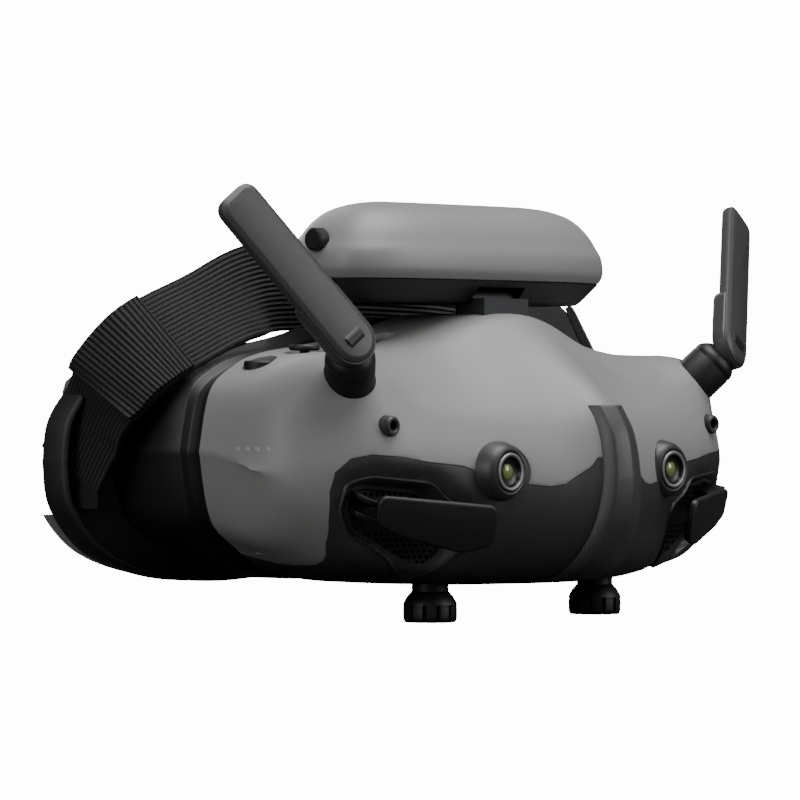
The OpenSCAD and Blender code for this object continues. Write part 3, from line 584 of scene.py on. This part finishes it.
VENT_FLOOR = 7.0
floor_normal = (vent_place(1, 0).to_3x3() @ Vector((0, 1, 0))).normalized()
floor_point = VENT_MID + floor_normal * VENT_FLOOR


def floor_y(x, z):
    n, p = floor_normal, floor_point
    return p.y - (n.x * (x - p.x) + n.z * (z - p.z)) / n.y


mouth = spread(VENT, 96)
for side in (-1, 1):
    cut(panel, [cutter("vent_mouth", VENT, low=-90, high=-30, side=side)])
rings = []
for inset, t in ((-0.05, 0), (0.35, 0.12), (0.8, 0.35), (1.2, 0.7), (1.9, 0.95), (3.0, 1.0)):
    ring = []
    for (x, z), (x0, z0) in zip(drawn_in(mouth, inset), mouth):
        ring.append((x, on_skin(x0, z0, -ROLL)[1] * (1 - t) + floor_y(x, z) * t, z))
    rings.append(ring)
bowl = grid_mesh("vent_bowl", [placed(r) for r in rings], around=True)
apply(bowl, "SOLIDIFY", thickness=0.0009, offset=1)
outward(bowl)
bowls = [bowl, mirrored(bowl, "vent_bowl_left")]
bosses = []
for side in (-1, 1):
    for x in (-4, 4):
        hole = turned("knob_slot", [(0, 0), (2.6, 0), (2.6, 20), (0, 20)],
                      toward((0, 0, 1), (side * 33 + x, -40.1, -58)), 32)
        cut(panel, [hole])
    cut(panel, [slab("knob_slot_side", [(-4, -2.6), (4, -2.6), (4, 2.6), (-4, 2.6)], 0, 20,
                     toward((0, 0, 1), (side * 33, -40.1, -58)), 0)])
    bosses.append(turned("camera_boss", [
        (5.0, 10), (5.0, 0.25), (5.3, -0.1), (5.7, -0.2), (6.3, 0.1), (7.1, 1.3), (7.6, 3.4),
        (8.2, 6), (8.4, 10), (5.0, 10)],
        flipped(side) @ toward((0, 1, 0), (CAM[0], CAM[1] - 2.2, CAM[2]))))
cut(panel, [slab("port_hole", stadium(9.1, 3.3), -10, 10,
                 toward((0, 0, 1), (-74, -22, -38)) @ Matrix.Rotation(math.pi / 2, 4, "Z"), 0)])
cut(panel, [slab("card_hole", [(-1.5, -6.5), (1.5, -6.5), (1.5, 6.5), (-1.5, 6.5)], -10, 10,
                 toward((0, 0, 1), (74, -22, -38)), 0)])
apply(panel, "BEVEL", width=0.00018, segments=2, limit_method="ANGLE",
      angle_limit=math.radians(50), use_clamp_overlap=True)
panel = join([panel] + bowls + bosses, "front_panel_skin")
stands_for(panel, ["front_panel"], dark_abs)


# --- Vent mesh: a perforated black plate at the bottom of each vent, with round holes above and
# below a plain band.
for side, word in ((-1, "left"), (1, "right")):
    local = vent_place(side, VENT_FLOOR) @ Matrix.Rotation(math.pi / 2, 4, "X")
    back = local.inverted()
    edge = [back @ Vector((side * x, floor_y(x, z), z + LIFT)) for x, z in drawn_in(mouth, 2.2)]
    sieve = slab("vent_mesh_" + word, [(p.x, p.y) for p in edge], -0.9, 0, local, 0)
    punches = []
    for i in range(-12, 13):
        for k in range(-8, 9):
            x, y = 1.75 * (i + (k % 2) / 2), 1.5 * k
            inside = distance([(x, y)], [(p.x, p.y) for p in edge])[0] < -0.9
            if inside and (y > 1.5 or y < -4):
                punches.append(slab("punch", [(x + 0.55 * math.cos(a), y + 0.55 * math.sin(a))
                                              for a in np.linspace(0, 2 * math.pi, 10)[:-1]],
                                    -3, 2, local, 0))
    cut(sieve, [join(punches, "punches")], solver="MANIFOLD")
    stands_for(sieve, ["vent_mesh_" + word], black_abs)


# --- Vent cover: a thick black blade in front of each vent, held off it by two webs at its outer
# end, so that air enters all round it.
COVER = rounded([(-15.5, 4), (15.5, 6), (17, 4.5), (17, -1.5), (10, -4.5), (-7.5, -8.5),
                 (-15.5, -6.5), (-16.5, -1)], 1.6)
for side, word in ((-1, "left"), (1, "right")):
    turn = (vent_place(side, -1.6) @ Matrix.Translation((-0.6, 0, 1.6))
            @ Matrix.Rotation(math.radians(7), 4, "Z") @ Matrix.Rotation(math.pi / 2, 4, "X"))
    cover = slab("vent_cover_" + word, COVER, 0, 2.1, turn, 0.75, 4)
    webs = [slab("web", [(-3, 0), (0, 0), (4.8, 1.9), (4.8, 3.4), (0, 1.6), (-3, 1.6)], -6.5, -0.4,
                 turn @ Matrix.Translation((17, z, 0)), 0.3) for z in (-2, 2.5)]
    stands_for(join([cover] + webs, "vent_cover_" + word), ["vent_cover_" + word], black_abs)


# --- Bridge strip: a bevelled dark bar down the middle of the front, which covers the seam
# between the halves of the panel and turns under the chin.
STRIP = [(-1.3, 4.6), (-9, 4.75), (-20, 5.3), (-30, 6.1), (-38, 7.0), (-43, 7.6), (-46.4, 7.9)]
rows = []
for z, half in STRIP:
    row = []
    for k, (part, out) in enumerate([(-1.22, -0.6), (-1.16, 0.6), (-1, 2.5), (-0.9, 2.9), (0, 3.15),
                                     (0.9, 2.9), (1, 2.5), (1.16, 0.6), (1.22, -0.6)]):
        x = part * half
        row.append((x, on_skin(x, z, out)[1], z))
    row.append((0, row[4][1] + 5.5, z))
    rows.append(row)
u = np.linspace(0, len(rows) - 1, 40)
strip = loft("bridge_strip_bar", [[tuple(p) for p in along(rows, v)] for v in u])
apply(strip, "BEVEL", width=0.0004, segments=2, limit_method="ANGLE",
      angle_limit=math.radians(30), use_clamp_overlap=True)
stands_for(strip, ["bridge_strip"], blade_abs, angle=25)


# --- Cameras: a grey anodised ring in each boss, a black cone inside it, and a small lens whose
# coating's green reflection is painted into its colour.
ring_alloy = new_material("grey_anodised_aluminium")
finish(ring_alloy, add(ring_alloy, "ShaderNodeBsdfPrincipled", Base_Color=srgb("#8f8f8f"),
                       Metallic=0.6, Roughness=0.42))
lens_glass = new_material("lens_glass_painted_coat_reflection")
where = add(lens_glass, "ShaderNodeTexCoord")
# Painted reflection: the lens is light green where it faces the view, standing in for the coating's
# reflection, and dark glass where it turns away.
view_facing = add(lens_glass, "ShaderNodeLayerWeight", Blend=0.3)
painted_coat_reflection = add(lens_glass, "ShaderNodeMix", [("Factor", view_facing.outputs["Facing"])], data_type="RGBA")
painted_coat_reflection.inputs[6].default_value = srgb("#8d9c5c")
painted_coat_reflection.inputs[7].default_value = srgb("#141a10")
finish(lens_glass, add(lens_glass, "ShaderNodeBsdfPrincipled", [("Base Color", painted_coat_reflection.outputs[2])],
                       Roughness=0.06, Coat_Weight=1.0, Coat_Roughness=0.02, IOR=1.6))
dark_glass = new_material("dark_cover_glass")
finish(dark_glass, add(dark_glass, "ShaderNodeBsdfPrincipled", Base_Color=srgb("#101310"),
                       Roughness=0.3))
for side, word in ((-1, "left"), (1, "right")):
    face = flipped(side) @ toward((0, 1, 0), (CAM[0], CAM[1] - 2.8, CAM[2]))
    barrel = turned("camera_ring_" + word, [
        (0, 8), (4.85, 8), (4.85, 0.25), (4.65, 0.05), (4.35, 0), (4.05, 0.12), (3.9, 0.5),
        (3.6, 1.6), (0, 1.6)], face)
    stands_for(barrel, ["camera_" + word], ring_alloy)
    well = turned("camera_well_" + word, [(0, 1.5), (3.7, 1.5), (3.95, 0.35), (3.8, 0.35),
                                          (3.4, 1.2), (2.9, 1.38), (0, 1.38)], face)
    paint(well, dark_glass)
    smooth(well)
    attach(well, "housing")
    dome = turned("camera_lens_" + word + "_dome",
                  [(0, 1.45)] + [(2.1 * math.sin(t), 1.4 - 0.75 * math.cos(t))
                                 for t in np.linspace(math.pi / 2, 0, 10)], face)
    stands_for(dome, ["camera_lens_" + word], lens_glass)


# --- Sensor posts: two short dark sleeves above the vents, each with a socket in its end.
posts = []
for side in (-1, 1):
    posts.append(turned("post", [(0, 6), (2.5, 6), (2.5, 0.45), (2.1, 0), (1.6, 0), (1.25, 0.3),
                                 (1.15, 0.9), (0.9, 2.2), (0, 2.2)],
                        flipped(side) @ toward((0, 1, 0), POST), 40))
stands_for(join(posts, "sensor_posts"), ["front_posts"], dark_abs)


# --- Rear shell: a black moulding between the grey shell and the face frame, drawn in by two steps
# so that the goggles narrow behind the grey edge.
FRAME_HALF = 101
FRAME_TOP = [(0, 15), (16, 15), (38, 15), (60, 15), (78, 13.5), (92, 7), (99.5, -4), (101, -16)]
FRAME_LOW = [(0, -43), (16, -44.5), (38, -46.5), (60, -47), (78, -45.5), (92, -39.5),
             (99.5, -28), (101, -16)]
BEND_FROM = 60.6
FRAME_Y = 15
FRAME_WRAP = 16
rim = np.concatenate([skin[:, 0], skin[-2:0:-1, -1]])


def wrap_y(x):
    """How far back the bent frame lies at x."""
    bend = np.maximum(0, np.abs(x) - BEND_FROM) / (FRAME_HALF - BEND_FROM)
    return FRAME_Y + FRAME_WRAP * bend ** 2


def rim_ring(t, y=None, off=0):
    ring = shrunk(rim, t)
    ring[:, 1] = wrap_y(ring[:, 0]) + off if y is None else y
    return ring


rear = loft("rear_shell_wall", [
    rim_ring(1.5, -10.9), rim_ring(1.5, -8.6), rim_ring(1.7, -8.1), rim_ring(2.9, -7.5),
    rim_ring(2.9, -4.4), rim_ring(2.7, -3.9), rim_ring(1.2, -3.3), rim_ring(0.9, -2.8),
    rim_ring(0.5, 4), rim_ring(0.4, 9), rim_ring(0.4, None, -0.5), rim_ring(3, None, -0.5),
    rim_ring(4, 0), rim_ring(5, -10.9)], caps=False)
stands_for(rear, ["rear_shell"], black_abs, angle=50)


# --- Face frame: a black dish that carries the face seal and bends back at the temples. Its edge
# turns forwards as a lip, and the headband passes through a slot at each end.
SLOT_X = 94.5
SLOT_Z = -16
STRAP_W = 24
MIDDLE_Z = -16


def radial(loop, angles):
    """How far a loop in X and Z reaches from the middle in each direction, Z drawn out by 3."""
    x, z = loop[:, 0], (loop[:, -1] - MIDDLE_Z) * 3
    turn = np.arctan2(z, x)
    order = np.argsort(turn)
    return np.interp(angles, turn[order], np.hypot(x, z)[order], period=2 * math.pi)


angles = np.linspace(-math.pi, math.pi, 241)[:-1]
half_top = [(-x, z) for x, z in FRAME_TOP[:0:-1]] + FRAME_TOP
half_low = [(-x, z) for x, z in FRAME_LOW[:0:-1]] + FRAME_LOW
frame_loop = np.array([along(half_top, u) for u in np.linspace(0, 14, 141)]
                      + [along(half_low, u) for u in np.linspace(13.9, 0.1, 139)])
frame_reach = radial(frame_loop, angles)
rim_reach = radial(rim_ring(0.4, 0), angles)
outer_reach = np.maximum(frame_reach, rim_reach)


def at_reach(reach, inset, off):
    """The ring at a reach, drawn in by inset millimetres, off behind the bent frame."""
    x, z = np.cos(angles) * reach, np.sin(angles) * reach / 3
    length = np.hypot(x, z)
    x, z = x * (1 - inset / length), z * (1 - inset / length)
    return np.stack([x, wrap_y(x) + off, z + MIDDLE_Z], axis=1)


lip = np.clip((frame_reach - rim_reach) / 9, 0, 1)
inner_reach = np.minimum(frame_reach, rim_reach)
face = loft("face_frame_dish", [
    at_reach(inner_reach, 5, 0), at_reach(outer_reach, 4.2, 0),
    at_reach(outer_reach, 2.6, -0.6 * lip),
    at_reach(outer_reach, 1.8, -1.6 * lip), at_reach(outer_reach, 1.5, -5.2 * lip),
    at_reach(outer_reach, 1.1, -5.9 * lip), at_reach(outer_reach, 0.5, -5.9 * lip),
    at_reach(outer_reach, 0, -5.2 * lip), at_reach(outer_reach, 0, 1.4),
    at_reach(outer_reach, 0.4, 2.1), at_reach(outer_reach, 1.2, 2.4),
    at_reach(inner_reach, 5, 2.4)], caps=False)
for side in (-1, 1):
    slot = rounded([(side * SLOT_X + x, SLOT_Z + z) for x, z in
                    ((-2.3, -13), (2.3, -13), (2.3, 26), (-2.3, 26))], 1.2)
    cut(face, [cutter("strap_slot", slot, low=0, high=60)])
stands_for(face, ["face_frame"], black_abs, angle=40)


# --- Face seal: a soft grey foam ring with a knitted skin, pressed onto the back of the frame. It
# is fullest at the temples and has a rounded lip.
def knitted(name, colour, pitch_mm, rough=0.9, sheen=0.3):
    """Knitted cloth: rows of small loops, drawn at the pitch of the real stitches."""
    material = new_material(name)
    where = add(material, "ShaderNodeTexCoord")
    cells = add(material, "ShaderNodeTexVoronoi", [("Vector", where.outputs["Object"])],
                Scale=1000 / pitch_mm, Randomness=0.35)
    fluff = add(material, "ShaderNodeTexNoise", [("Vector", where.outputs["Object"])],
                Scale=90, Detail=5)
    bump = add(material, "ShaderNodeBump", [("Height", cells.outputs["Distance"])],
               Strength=0.6, Distance=0.0003)
    shade = srgb(colour)
    tint = add(material, "ShaderNodeMix", [("Factor", fluff.outputs["Fac"])], data_type="RGBA")
    tint.inputs[6].default_value = [c * 0.85 for c in shade[:3]] + [1]
    tint.inputs[7].default_value = [c * 1.15 for c in shade[:3]] + [1]
    return finish(material, add(material, "ShaderNodeBsdfPrincipled",
                                [("Base Color", tint.outputs[2]),
                                 ("Normal", bump.outputs["Normal"])],
                                Roughness=rough, Sheen_Weight=sheen, Sheen_Roughness=0.5))


foam_skin = knitted("grey_foam_with_knitted_skin", "#6a6a6a", 0.5)


def seal_ring(tx, tz, off):
    loop = np.stack([np.cos(angles) * frame_reach, np.zeros(len(angles)),
                     np.sin(angles) * frame_reach / 3], axis=1)
    x = loop[:, 0] * (1 - tx / FRAME_HALF)
    puff = 0.25 * np.sin(angles * 9) * np.sin(angles * 4 + 1)
    return np.stack([x, wrap_y(x) + off + (puff if off > 5 else 0),
                     MIDDLE_Z + loop[:, 2] * (1 - tz / 31)], axis=1)


profile = [(14, 4.4, 3.2), (8, 3, 2.9), (3, 1.6, 2.9), (1.9, 1.0, 3.6), (1.6, 0.8, 5),
           (1.6, 0.8, 8), (2.4, 1.2, 9.6), (4, 2.2, 10.6), (7, 3, 11.3), (10, 3.6, 11.6),
           (13, 4.2, 11.1),
           (15, 4.6, 10), (15.8, 4.9, 8), (16, 5, 6), (15.2, 4.8, 4.2)]
seal = loft("face_seal_ring", [seal_ring(*p) for p in profile], caps=False)
for side in (-1, 1):
    notch = ((-3.3, -13.5), (13.3, -13.5), (13.3, 26), (-3.3, 26))
    cut(seal, [cutter("strap_notch", [(side * (SLOT_X + x), SLOT_Z + z) for x, z in notch],
                      low=0, high=60)])
stands_for(seal, ["face_seal"], foam_skin, angle=60)


# --- Antennas: a flat dark blade, faceted along its edges, sits in a collar that turns on a round
# stub.
BLADE_DIR = Vector((-0.525, 0.379, 0.763)).normalized()
BLADE_FACE = Vector((-0.292, -0.92, 0.256)).normalized()
HINGE_DIR = BLADE_DIR.cross(BLADE_FACE).normalized()
BLADE_UP = HINGE_DIR.cross(BLADE_DIR)
BLADE_LEN, BLADE_W = 47, 12.7
blade_frame = Matrix.Translation(HINGE + Vector((0, 0, LIFT))) @ Matrix(
    (HINGE_DIR, BLADE_DIR, BLADE_UP)).transposed().to_4x4()


def blade_outline(grow, tip, start=0.0):
    """Half round at the root, straight sides, and a tip with two rounded corners."""
    r = BLADE_W / 2 + grow
    corner = 3.4
    return (arc(0, start, r, 180, 360, 28)
            + arc(r - corner, tip - corner, corner, 0, 90, 8)
            + arc(-r + corner, tip - corner, corner, 90, 180, 8))


for side, word in ((-1, "left"), (1, "right")):
    flip = flipped(-side)
    place = flip @ blade_frame
    blade = loft("antenna_blade_" + word, [
        [(x, y, h) for x, y in drawn_in(spread(blade_outline(0, BLADE_LEN), 110), inset)]
        for inset, h in ((1.5, -1.6), (0.5, -1.5), (0.12, -1.1), (0, -0.5), (0, 0.9), (0.12, 1.25),
                         (1.15, 1.95), (1.5, 2.05))], place)
    collar = loft("antenna_collar", [
        [(x, y, h) for x, y in drawn_in(spread(blade_outline(0.5, 15.5), 80), inset)]
        for inset, h in ((2.6, -3.4), (0.9, -3.15), (0.25, -2.6), (0, -1.8), (0, 0.5), (0.2, 0.85),
                         (0.8, 0.9))], place)
    stands_for(join([blade, collar], "antenna_blade_" + word + "_body"), ["antenna_blade_" + word],
               blade_abs, "antenna_" + word, angle=28)
    seat = flip @ toward(STUB_DIR, HINGE)
    stub = turned("antenna_stub_" + word, [
        (0, -17), (6.4, -17), (6.4, -8.2), (6.25, -7.9), (6.25, -7.6), (6.4, -7.3), (6.3, -6.4),
        (5.6, -5.2), (4.4, -4.0), (3.0, -3.2), (2.3, -2.8), (2.0, -1), (0, -1)], seat, 72)
    hub = turned("antenna_hub", [(0.95, -2.5), (2.6, -2.5), (2.6, 2.5), (0.95, 2.5), (0.95, -2.5)],
                 place @ Matrix.Rotation(math.pi / 2, 4, "Y"), 40)
    stands_for(join([stub, hub], "antenna_stub_" + word), ["antenna_socket_" + word], black_abs)


# --- Top grilles: a black plate with two rows of slots, sunk a millimetre into the shell.
for side, word in ((-1, "left"), (1, "right")):
    grille = slab("top_grille_plate_" + word, stadium(32.2, 6.3), -1.4, -0.3, grille_place(side),
                  0.25, 2)
    slots = [slab("slot", [(x + 3.1 * i, y + 1.35 * k) for x, y in stadium(2.3, 1.0, 4)], -4, 3,
                  grille_place(side), 0) for i in range(-4, 5) for k in (-1, 1)]
    cut(grille, [join(slots, "slots")], solver="MANIFOLD")
    stands_for(grille, ["top_grille_" + word], black_abs)


# --- Joystick, button and charge lights, on the wearer's right: a black dished cap on a stalk, a
# round key beside it, and four small lights in a row on the cheek.
stick = turned("joystick_cap", [
    (0, -4.6), (1.6, -4.4), (1.6, -3.6), (1.2, -3), (1.2, 1), (3.6, 1.1), (3.95, 1.5), (3.95, 2.1),
    (3.6, 2.55), (2.9, 2.6), (2.2, 2.25), (0, 2.1)], toward((0, 0, 1), STICK), 48)
stands_for(stick, ["joystick"], black_abs, "stick")
key = turned("back_key_cap", [(0, -4.6), (1.2, -4.6), (1.2, -3), (4.25, -3), (4.25, 0.5),
                              (3.9, 0.95), (3.2, 1.0), (2.6, 0.8), (0, 0.7)],
             toward((0, 0, 1), BUTTON), 48)
stands_for(key, ["back_button"], black_abs, "back_key")
light_pipe = new_material("smoked_light_pipe")
finish(light_pipe, add(light_pipe, "ShaderNodeBsdfPrincipled", Base_Color=srgb("#9a9a96"),
                       Roughness=0.35))
pipes = []
for i in range(4):
    spot = Vector((-86.4 + 0.5 * i, -24 - 3 * i, -12.5))
    hit, normal = skin_tree.ray_cast(Vector(placed((-140, spot.y, spot.z))), Vector((1, 0, 0)))[:2]
    face = toward(normal if normal.x < 0 else -normal, Vector(hit) * 1000 - Vector((0, 0, LIFT)))
    pipes.append(turned("pipe", [(0, -1.2), (0.8, -1.2), (0.8, 0.02), (0.7, 0.06), (0, 0.06)],
                        face, 24))
stands_for(join(pipes, "charge_lights"), ["battery_lights"], light_pipe)


# --- Knobs: black moulded dials with twelve notches, a bevelled shoulder and a round neck. Each
# turns to focus its lens and slides with its eyepiece.
KNOB_R = 6.95
notched = np.linspace(0, 2 * math.pi, 145)[:-1]
KNOB = [(0.0, 0.25, 0), (0.35, 0.25, 0), (0.83, 0, 0.2), (0.93, 0, 0.7), (0.985, 0.7, 1),
        (1.0, 1.6, 1), (1.0, 4.4, 1), (0.99, 5.0, 0.9), (1.0, 5.5, 0.0), (0.98, 6.2, 0),
        (0.86, 8.0, 0), (0.72, 9.3, 0), (0.68, 9.6, 0), (0.68, 12.2, 0), (0.3, 12.4, 0),
        (0.29, 18, 0), (0.0, 18, 0)]
for side, word in ((-1, "left"), (1, "right")):
    rows = []
    for part, z, notch in KNOB:
        dent = np.clip(np.cos(notched * 12) * 2.2 - 1.1, 0, 1) * 0.95 * notch
        r = part * KNOB_R - dent * (part > 0.8)
        rows.append([(side * 33 + a * math.cos(t), -40.1 + a * math.sin(t), z * 0.83)
                     for a, t in zip(r, notched)])
    dial = loft("focus_dial_" + word, rows, Matrix())
    stands_for(dial, ["knob_" + word], black_abs, "dial_" + word, angle=30)


# --- Battery pod: a grey pillow-shaped cover over a black tray, on a hinge above the block.
POD_Y, POD_LOW = -17.6, 82.3


def pillow(half_w, half_d, n, count=120):
    turn = np.linspace(0, 2 * math.pi, count + 1)[:-1]
    c, s = np.cos(turn), np.sin(turn)
    return [(half_w * np.sign(a) * abs(a) ** (2 / n), half_d * np.sign(b) * abs(b) ** (2 / n))
            for a, b in zip(c, s)]


def pod_loop(z, inset, n=3.1):
    return [(x, y + POD_Y, z + POD_LOW) for x, y in pillow(52 - inset, 21 - inset * 0.82, n)]


cover_rows = [(6.0, 2.6), (6.0, 1.5), (6.6, 0.8), (8.7, 0), (12.7, 0.4), (15.5, 1.9), (18.7, 3.9),
              (21.4, 6.4), (23.6, 9.6), (25.0, 13.4), (25.9, 17.6), (26.4, 22.5)]
curve = [along(cover_rows, v) for v in np.linspace(0, len(cover_rows) - 1, 49)]
cover = loft("pod_cover", [pod_loop(z, t) for z, t in curve], Matrix())
key_hole = turned("key_hole", [(0, 0), (3.2, 0), (3.2, 1.2), (0, 1.2)],
                  toward((1, 0, 0), (-53.6, POD_Y, POD_LOW + 16), 0))
cut(cover, [key_hole])
stands_for(cover, ["pod_shell"], grey_abs, "pod", angle=50)
tray_rows = [(0, 8.5), (0.2, 7.4), (1.0, 6.2), (2.5, 4.6), (4.5, 2.6), (5.6, 1.5), (5.9, 1.6),
             (5.9, 3)]
curve = [along(tray_rows, v) for v in np.linspace(0, len(tray_rows) - 1, 29)]
tray = loft("pod_tray", [pod_loop(z, t) for z, t in curve], Matrix())
cut(tray, [slab("hinge_gap", rounded([(-9.3, -60), (9.3, -60), (9.3, -23.2), (-9.3, -23.2)], 1),
                POD_LOW - 2, POD_LOW + 4.2, Matrix(), 0)])
stands_for(tray, ["pod_base"], black_abs, "pod", angle=50)
power = turned("power_key", [(0, 0), (2.5, 0.05), (2.95, 0.4), (2.95, 3.4), (0, 3.4)],
               toward((1, 0, 0), (-53.3, POD_Y, POD_LOW + 16), 0), 48)
stands_for(power, ["power_button"], black_abs, "power_key")


# --- Forehead cushion: a foam pad in black knitted cloth behind the pod. It is crowned, with its
# edge drawn in by a sewn seam.
cushion_knit = knitted("black_knitted_cushion", "#141415", 0.9, 0.95, 0.25)
pad_rows = []
for depth, inset in ((0, 1.6), (0.5, 0.6), (1.4, 0.15), (2.6, 0), (4.2, 0.25), (5.6, 0.9),
                     (6.8, 2.0), (7.9, 3.8), (8.7, 6.4), (9.1, 8.4)):
    loop = pillow(32 - inset, 9 - inset, 3.6, 96)
    sag = [0.5 * math.cos(x / 32 * math.pi / 2) * (depth / 9) for x, _ in loop]
    pad_rows.append([(x, POD_Y + 21 + depth + s, z + POD_LOW + 13) for (x, z), s in zip(loop, sag)])
pad = loft("forehead_pad", pad_rows, Matrix())
apply(pad, "SUBSURF", levels=1, render_levels=1)
stands_for(pad, ["forehead_cushion"], cushion_knit, "pod", angle=60)


# --- Headband: black elastic webbing, ribbed along its length, that hooks into the frame's
# slots. Its ends are folded back over themselves and sewn, and show ribs across.
HALF_BAND = [(-94.8, 28, -18, 0), (-94.8, 21.5, -7, 0), (-93.8, 15, 3.4, 8), (-88, 9.5, 12.6, 24),
             (-77, 7, 18.6, 38), (-58, 8.5, 25, 42), (-36, 17.2, 29.5, 12), (-18, 19.3, 30.7, 0),
             (0, 19.6, 31, 0)]
BAND = HALF_BAND + [(-x, y, z, lean) for x, y, z, lean in HALF_BAND[-2::-1]]
STRAP_T = 1.8


def webbing(name, across):
    """Ribbed webbing: ribs 1.3 mm apart on the piece's own UV map, with a thread in each, and
    painted shade in the grooves between the ribs.
    """
    material = new_material(name)
    where = add(material, "ShaderNodeUVMap", uv_map="run")
    split = add(material, "ShaderNodeSeparateXYZ", [("Vector", where.outputs["UV"])])
    axis = "X" if across else "Y"
    ribs = add(material, "ShaderNodeMath", [(0, split.outputs[axis])], operation="MULTIPLY")
    ribs.inputs[1].default_value = 1000 / 1.3 * math.pi * 2
    wave = add(material, "ShaderNodeMath", [(0, ribs.outputs[0])], operation="SINE")
    threads = add(material, "ShaderNodeTexNoise", [("Vector", where.outputs["UV"])], Scale=2500,
                  Detail=2)
    height = add(material, "ShaderNodeMath", [(0, wave.outputs[0]), (1, threads.outputs["Fac"])],
                 operation="ADD")
    bump = add(material, "ShaderNodeBump", [("Height", height.outputs[0])], Strength=0.8,
               Distance=0.0003)
    # Painted shade: the colour follows the ribs, darker in the grooves between them and lighter on
    # their crests.
    lift = add(material, "ShaderNodeMapRange", [("Value", wave.outputs[0])], From_Min=-1.0,
               From_Max=1.0)
    tint = add(material, "ShaderNodeMix", [("Factor", lift.outputs["Result"])], data_type="RGBA")
    tint.inputs[6].default_value = srgb("#050505")
    tint.inputs[7].default_value = srgb("#161616")
    return finish(material, add(material, "ShaderNodeBsdfPrincipled",
                                [("Base Color", tint.outputs[2]),
                                 ("Normal", bump.outputs["Normal"])],
                                Roughness=0.8, Sheen_Weight=0.05))


long_ribs = webbing("black_webbing_ribbed_along", False)
cross_ribs = webbing("black_webbing_ribbed_across", True)


def band_ribbon(name, start, end, off, thick, steps):
    """A length of the webbing, moved off outwards, with its run and width as a UV map."""
    rows, runs, run = [], [], 0.0
    last = None
    for u in np.linspace(start, end, steps):
        p = along(BAND, u)
        c = Vector(p[:3])
        t = Vector(along(BAND, min(u + 0.05, 16))[:3]) - Vector(along(BAND, max(u - 0.05, 0))[:3])
        t.normalize()
        out = Vector((-t.y, t.x, 0)).normalized()
        lean = math.radians(p[3])
        across = out * math.sin(lean) + Vector((0, 0, math.cos(lean)))
        w = (across - t * across.dot(t)).normalized() * (STRAP_W / 2)
        n = t.cross(w).normalized()
        c += n * off
        run += (c - last).length if last else 0
        last = c.copy()
        runs.append(run)
        edge = [(-1, -0.5), (-1.005, 0), (-1, 0.5), (-0.5, 0.5), (0, 0.5), (0.5, 0.5), (1, 0.5),
                (1.005, 0), (1, -0.5), (0.5, -0.5), (0, -0.5), (-0.5, -0.5)]
        rows.append([c + w * a + n * (thick * b) for a, b in edge])
    ribbon = grid_mesh(name, [[tuple(p) for p in r] for r in rows], around=True)
    mesh = ribbon.data
    verts = [v.co.copy() for v in mesh.vertices]
    faces = [tuple(p.vertices) for p in mesh.polygons]
    n = len(rows[0])
    faces += [tuple(range(n)), tuple(range(len(verts) - n, len(verts)))]
    mesh.clear_geometry()
    mesh.from_pydata(verts, [], faces)
    layer = mesh.uv_layers.new(name="run")
    spread_w = [a * STRAP_W / 2000 for a, _ in edge]
    for loop in mesh.loops:
        i, k = divmod(loop.vertex_index, n)
        layer.data[loop.index].uv = (runs[i] / 1000, spread_w[k])
    settle(ribbon, Matrix.Translation((0, 0, LIFT)))
    return ribbon


FOLD, TAIL = 3.6, 1.8
band = band_ribbon("headband", 0, 16, 0, STRAP_T, 260)
loops = [slab("slot_loop", [(side * (SLOT_X + 0.3) - 0.6, 18), (side * (SLOT_X + 0.3) + 0.6, 18),
                            (side * (SLOT_X + 0.3) + 0.6, 34), (side * (SLOT_X + 0.3) - 0.6, 34)],
              -11.9, 11.9, Matrix.Translation((0, 0, SLOT_Z + LIFT)), 0.3) for side in (-1, 1)]
stands_for(join([band] + loops, "headband"), ["head_strap"], long_ribs, angle=40)
tails = [band_ribbon("tail", TAIL, FOLD, STRAP_T + 0.4, 1.9, 70),
         band_ribbon("tail", 16 - FOLD, 16 - TAIL, STRAP_T + 0.4, 1.9, 70)]
stands_for(join(tails, "headband_tails"), ["strap_tails"], cross_ribs, angle=40)


# --- Battery cells: two round cells in blue shrink film, side by side in the pod.
film = new_material("blue_shrink_film")
finish(film, add(film, "ShaderNodeBsdfPrincipled", Base_Color=srgb("#3b6ea5"), Roughness=0.3))
CELL = [(0, -33), (3, -33), (3, -32.3), (7.4, -32.3), (8, -31.6), (8, 31.4), (7.8, 32),
        (6.6, 32.2), (6.6, 31.8), (0, 31.8)]
cells = [turned("cell", CELL, toward((1, 0, 0), (0, POD_Y + side * 8.6, POD_LOW + 14), 0), 48)
         for side in (-1, 1)]
stands_for(join(cells, "battery_cell_pair"), ["battery_cells"], film, "pod")


# --- Optics and electronics: the parts inside keep their shapes, and each gets the finish of the
# real one.
def plain(name, colour, rough, metal=0.0, **more):
    material = new_material(name)
    return finish(material, add(material, "ShaderNodeBsdfPrincipled", Base_Color=srgb(colour),
                                Roughness=rough, Metallic=metal, **more))


steel = plain("ground_steel", "#b9b9bb", 0.3, 1.0)
anodised = plain("plain_anodised_aluminium", "#a6a8ac", 0.4, 1.0)
board = plain("green_circuit_board", "#1f4a2b", 0.45)
panel_glass = plain("display_glass", "#10131a", 0.12, Coat_Weight=0.5)
eye_glass = plain("clear_eyepiece_glass", "#dfe8ec", 0.02, Transmission_Weight=0.9, IOR=1.52)
painted = plain("dark_painted_steel", "#3c3d3f", 0.5, 0.3)
for material, names in (
        (steel, "usb_port card_slot guide_rods hinge_pin lens_screws chip_shield joystick_ring "
                "antenna_pin_left antenna_pin_right"),
        (anodised, "heat_sink"), (board, "main_board"),
        (panel_glass, "display_left display_right"), (eye_glass, "eyepiece_left eyepiece_right"),
        (painted, "hinge_bracket"),
        (black_abs, "lens_plate barrel_left barrel_right fan_frame_left fan_frame_right "
                    "fan_rotor_left fan_rotor_right joystick_base"),
        (dark_abs, "rod_mounts carriage_left carriage_right")):
    for name in names.split():
        paint(frame["nodes"][name], material)
